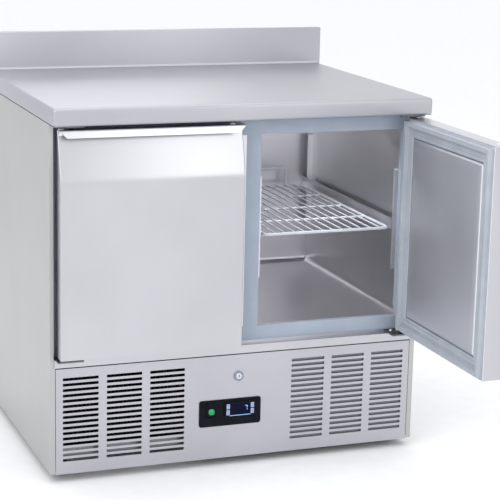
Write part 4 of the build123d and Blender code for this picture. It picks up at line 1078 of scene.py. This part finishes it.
FINISHES: dict[str, Finish] = {
    # Brushed along its length and worn by wiping; its base colour is set darker than the doors' as painted
    # shade: soft light that fades over the slab.
    "top": BrushedStainless("stainless_304_brushed_along_top", "#bbbbc0", 0.42, shade="#b0b0b6"),
    # Brushed upright, fine and clean: the brightest sheets.
    "front": BrushedStainless("stainless_304_brushed_upright", "#c7c7cb", 0.34, Grain.ALONG_Z,
                              shade="#bbbbbf"),
    # Brushed along, then punched; its base colour is set darker than the doors' as painted shade: even and
    # slightly violet, with no clear reflection.
    "low_front": BrushedStainless("stainless_304_brushed_lower", "#c2c1c7", 0.40, shade="#b5b4bb"),
    # Coarser brushing on the sides and the back: flat and a little warm.
    "side": BrushedStainless("stainless_304_brushed_side", "#bfbfbe", 0.42, Grain.ALONG_Z, shade="#b3b3b3"),
    # Rubbed smooth where hands pull it; its base colour is set lighter than the doors' as a painted
    # highlight: a clean bright stripe.
    "grip": BrushedStainless("stainless_304_polished_rail", "#d2d3d7", 0.28, shade="#c6c7cc"),
    # Finely brushed liner; its base colour is set lighter than the outer sheets' as painted light that lifts
    # the dim cavity: dim, blurred reflections of the opening.
    "inside": BrushedStainless("stainless_304_liner", "#dcdbdf", 0.34, shade="#d0cfd3"),
    # Pressed sheet on the doors' inner side; its base colour is set lighter than the outer sheets' as painted
    # light: pale and blurred.
    "inner_door": BrushedStainless("stainless_304_inner_door", "#e6e7ec", 0.48, Grain.ALONG_Z,
                                   shade="#dbdce2"),
    # Zinc-plated pan, grille, mounts and forks: mid grey with small flakes.
    "zinc": PlatedMetal("zinc_plated_steel", "#a9abae", 0.42),
    # Nickel on screws and the lock: small, sharp and bright.
    "bright": PlatedMetal("bright_nickel_plate", "#dfe1e5", 0.2, "#c4c6ca"),
    # Zinc plate on the hinge brackets, coloured dark grey as painted shade: a weak sheen.
    "dark_bracket": PlatedMetal("zinc_plate_painted_shade", "#7b7e83", 0.4, "#55585d"),
    # Pressed and punched uprights, coloured nearly white as a painted highlight against the dim wall.
    "rack": BrushedStainless("stainless_304_pressed_rack", "#f3f4f6", 0.5, Grain.ALONG_Z, shade="#e7e8ec"),
    # Galvanised sheet behind the slots, coloured a darker grey than the zinc as painted shade: dull grey.
    "baffle": PlatedMetal("galvanised_sheet", "#85878c", 0.5, "#6d7075"),
    # Condenser fins coloured near black as painted shade for the dark space behind the slots: nearly no light
    # comes back.
    "dusty_fin": PlatedMetal("condenser_fin_painted_shade", "#3b3d41", 0.6, "#212327"),
    # Rolled aluminium fins: soft grey.
    "fin": PlatedMetal("rolled_aluminium_fin", "#a8aaad", 0.45),
    # Drawn copper: warm, with a darker tarnish in patches.
    "copper": PlatedMetal("drawn_copper_tube", "#c8814f", 0.35, "#9c5a36"),
    # Extruded ABS profile: an even blue-grey satin.
    "frame": MouldedPlastic("extruded_abs_frame", "#a1abb9", 0.42, "#99a4b3"),
    # Soft extruded PVC: grey and matt, so its ribs read by shade alone.
    "seal": MouldedPlastic("extruded_pvc_seal", "#a8aeb6", 0.5, "#9da4ad"),
    # The profile that holds the seal, coloured dark grey as painted shade: a thin dark line inside it.
    "channel": MouldedPlastic("extruded_grey_channel", "#6d7480", 0.5, "#626975"),
    # Spark-eroded ABS: a black that stays dark from every side.
    "black": MouldedPlastic("moulded_abs_black", "#0a0d14", 0.46, "#10141c", specular=0.1),
    # Nylon bushes and wheel centres: waxy white.
    "white": MouldedPlastic("moulded_nylon_white", "#e6e8ea", 0.4, "#dcdee0"),
    # Dip-coated wire: a thick, smooth, bluish white skin with a soft gleam.
    "coat": MouldedPlastic("dip_coated_wire", "#cdd1d9", 0.3, "#c1c6cf"),
    # Stoved black enamel on the compressor and the motors: deep and glossy.
    "enamel": MouldedPlastic("black_stove_enamel", "#17181a", 0.3, "#101113"),
    # Smoked acrylic: smooth, almost black with some navy in it.
    "screen": MouldedPlastic("smoked_acrylic_window", "#0a0c2a", 0.16, "#070920", depth=0.0, ior=1.49,
                             specular=0.08),
    # Printed polyester keys: pale blue, slightly glossy.
    "keypad": MouldedPlastic("printed_polyester_keypad", "#a3b3d6", 0.4, "#93a5cc"),
    # Screen-printed inks on the controller: flat pale blue and flat dark blue.
    "print": MouldedPlastic("screen_printed_pale_blue", "#9cc6ee", 0.45, "#88b7e4"),
    "ink": MouldedPlastic("screen_printed_dark_blue", "#3f5384", 0.45, "#35487a"),
    # Satin chrome round the lock: a cool grey ring.
    "ring": PlatedMetal("satin_chrome_ring", "#98a0af", 0.3, "#7e8797"),
    # Translucent green moulding over a lamp: it glows evenly.
    "lens": LitPlastic("moulded_green_lens", "#0a9a54", 0.18, "#077d42", grain_mm=0.5, depth=0.05, ior=1.49,
                       glow=0.3),
    # A lit segment behind the window: light blue.
    "digit": LitPlastic("lit_display_segment", "#7fa9f0", 0.4, "#6a97e8", grain_mm=0.5, depth=0.02, ior=1.49,
                        glow=0.8),
    # Moulded rubber: dark and matt.
    "tread": MouldedPlastic("moulded_rubber_tread", "#26282b", 0.7, "#1f2123"),
    # Injected foam, hidden between the sheets: matt cream.
    "foam": CellFoam("injected_polyurethane_foam", "#e0d2a6", 0.9),
    # Particle board inside the worktop: matt brown with flecks.
    "board": MouldedPlastic("pressed_particle_board", "#b89a6c", 0.8, "#a3865a", grain_mm=2.5, depth=0.3),
    # Matt paint on the studio's floor: only soft shadows show.
    "studio": MouldedPlastic("studio_floor_matt_paint", "#f7f7f8", 0.9, "#f3f3f4", grain_mm=3.0, depth=0.02),
}

DRESS: dict[str, tuple[str, ...]] = {
    "top": ("worktop",),
    "front": ("door_skin_left", "door_skin_right", "door_grip_left", "door_grip_right", "bottom_rail"),
    "low_front": ("lower_panel",),
    "side": ("side_panel_left", "side_panel_right", "back_panel"),
    "inside": ("inner_liner", "mullion_post", "evaporator_cover", "shelf_runners"),
    "rack": ("shelf_uprights",),
    "baffle": ("air_baffle",),
    # The condenser's near-black finish is painted shade.
    "dusty_fin": ("condenser",),
    "inner_door": ("door_panel_left", "door_panel_right"),
    "zinc": ("rear_grille", "base_pan", "castor_mounts", "castor_fork_front_left", "castor_fork_front_right"),
    "bright": ("hinge_screws", "lock_barrel"),
    "ring": ("lock_housing",),
    "dark_bracket": ("hinge_brackets",),
    "fin": ("evaporator_coil",),
    "copper": ("refrigerant_pipes",),
    "frame": ("breaker_frame",),
    "seal": ("door_gasket_left", "door_gasket_right"),
    "black": ("cord_inlet", "control_plate", "switch_housing", "switch_rocker", "controller_body",
              "evaporator_fan", "condenser_fan", "drip_tray"),
    "white": ("door_bushes_left", "door_bushes_right"),
    "coat": ("shelf_left", "shelf_right"),
    "enamel": ("compressor", "fan_motors"),
    "screen": ("controller_screen",),
    "keypad": ("key_up", "key_down", "key_set", "key_defrost"),
    "tread": ("castor_wheel_front_left", "castor_wheel_front_right", "castor_wheel_rear_left",
              "castor_wheel_rear_right"),
    "foam": ("cabinet_foam", "door_foam_left", "door_foam_right"),
    "board": ("worktop_core",),
}


def dress_nodes(nodes: dict[str, bpy.types.Object]) -> Made:
    """Gives every carried-over solid its finish.

    Args:
        nodes: The frame's objects by name.

    Returns:
        The object's materials by finish name.
    """
    made = {name: finish.build() for name, finish in FINISHES.items() if name != "studio"}
    for name, members in DRESS.items():
        for member in members:
            mesh = nodes[member].data
            mesh.materials.clear()
            mesh.materials.append(made[name])
    return made


def main() -> None:
    """Loads the frame, dresses it, adds the pieces and sets up the studio."""
    logging.basicConfig(level=logging.INFO, format="%(message)s")
    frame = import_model()
    made = dress_nodes(frame["nodes"])
    sizes = DoorSizes.from_frame()
    for side in Side:
        Door(side, made, sizes).build()
        WireShelf(side, made).build()
    Worktop(made).build()
    Controls(made).build()
    HingeScrews(made).build()
    for end in ("front", "rear"):
        for hand in Side:
            Wheel(f"castor_wheel_{end}_{hand.value}", made).build()
    Studio().build()


if __name__ == "__main__":
    main()
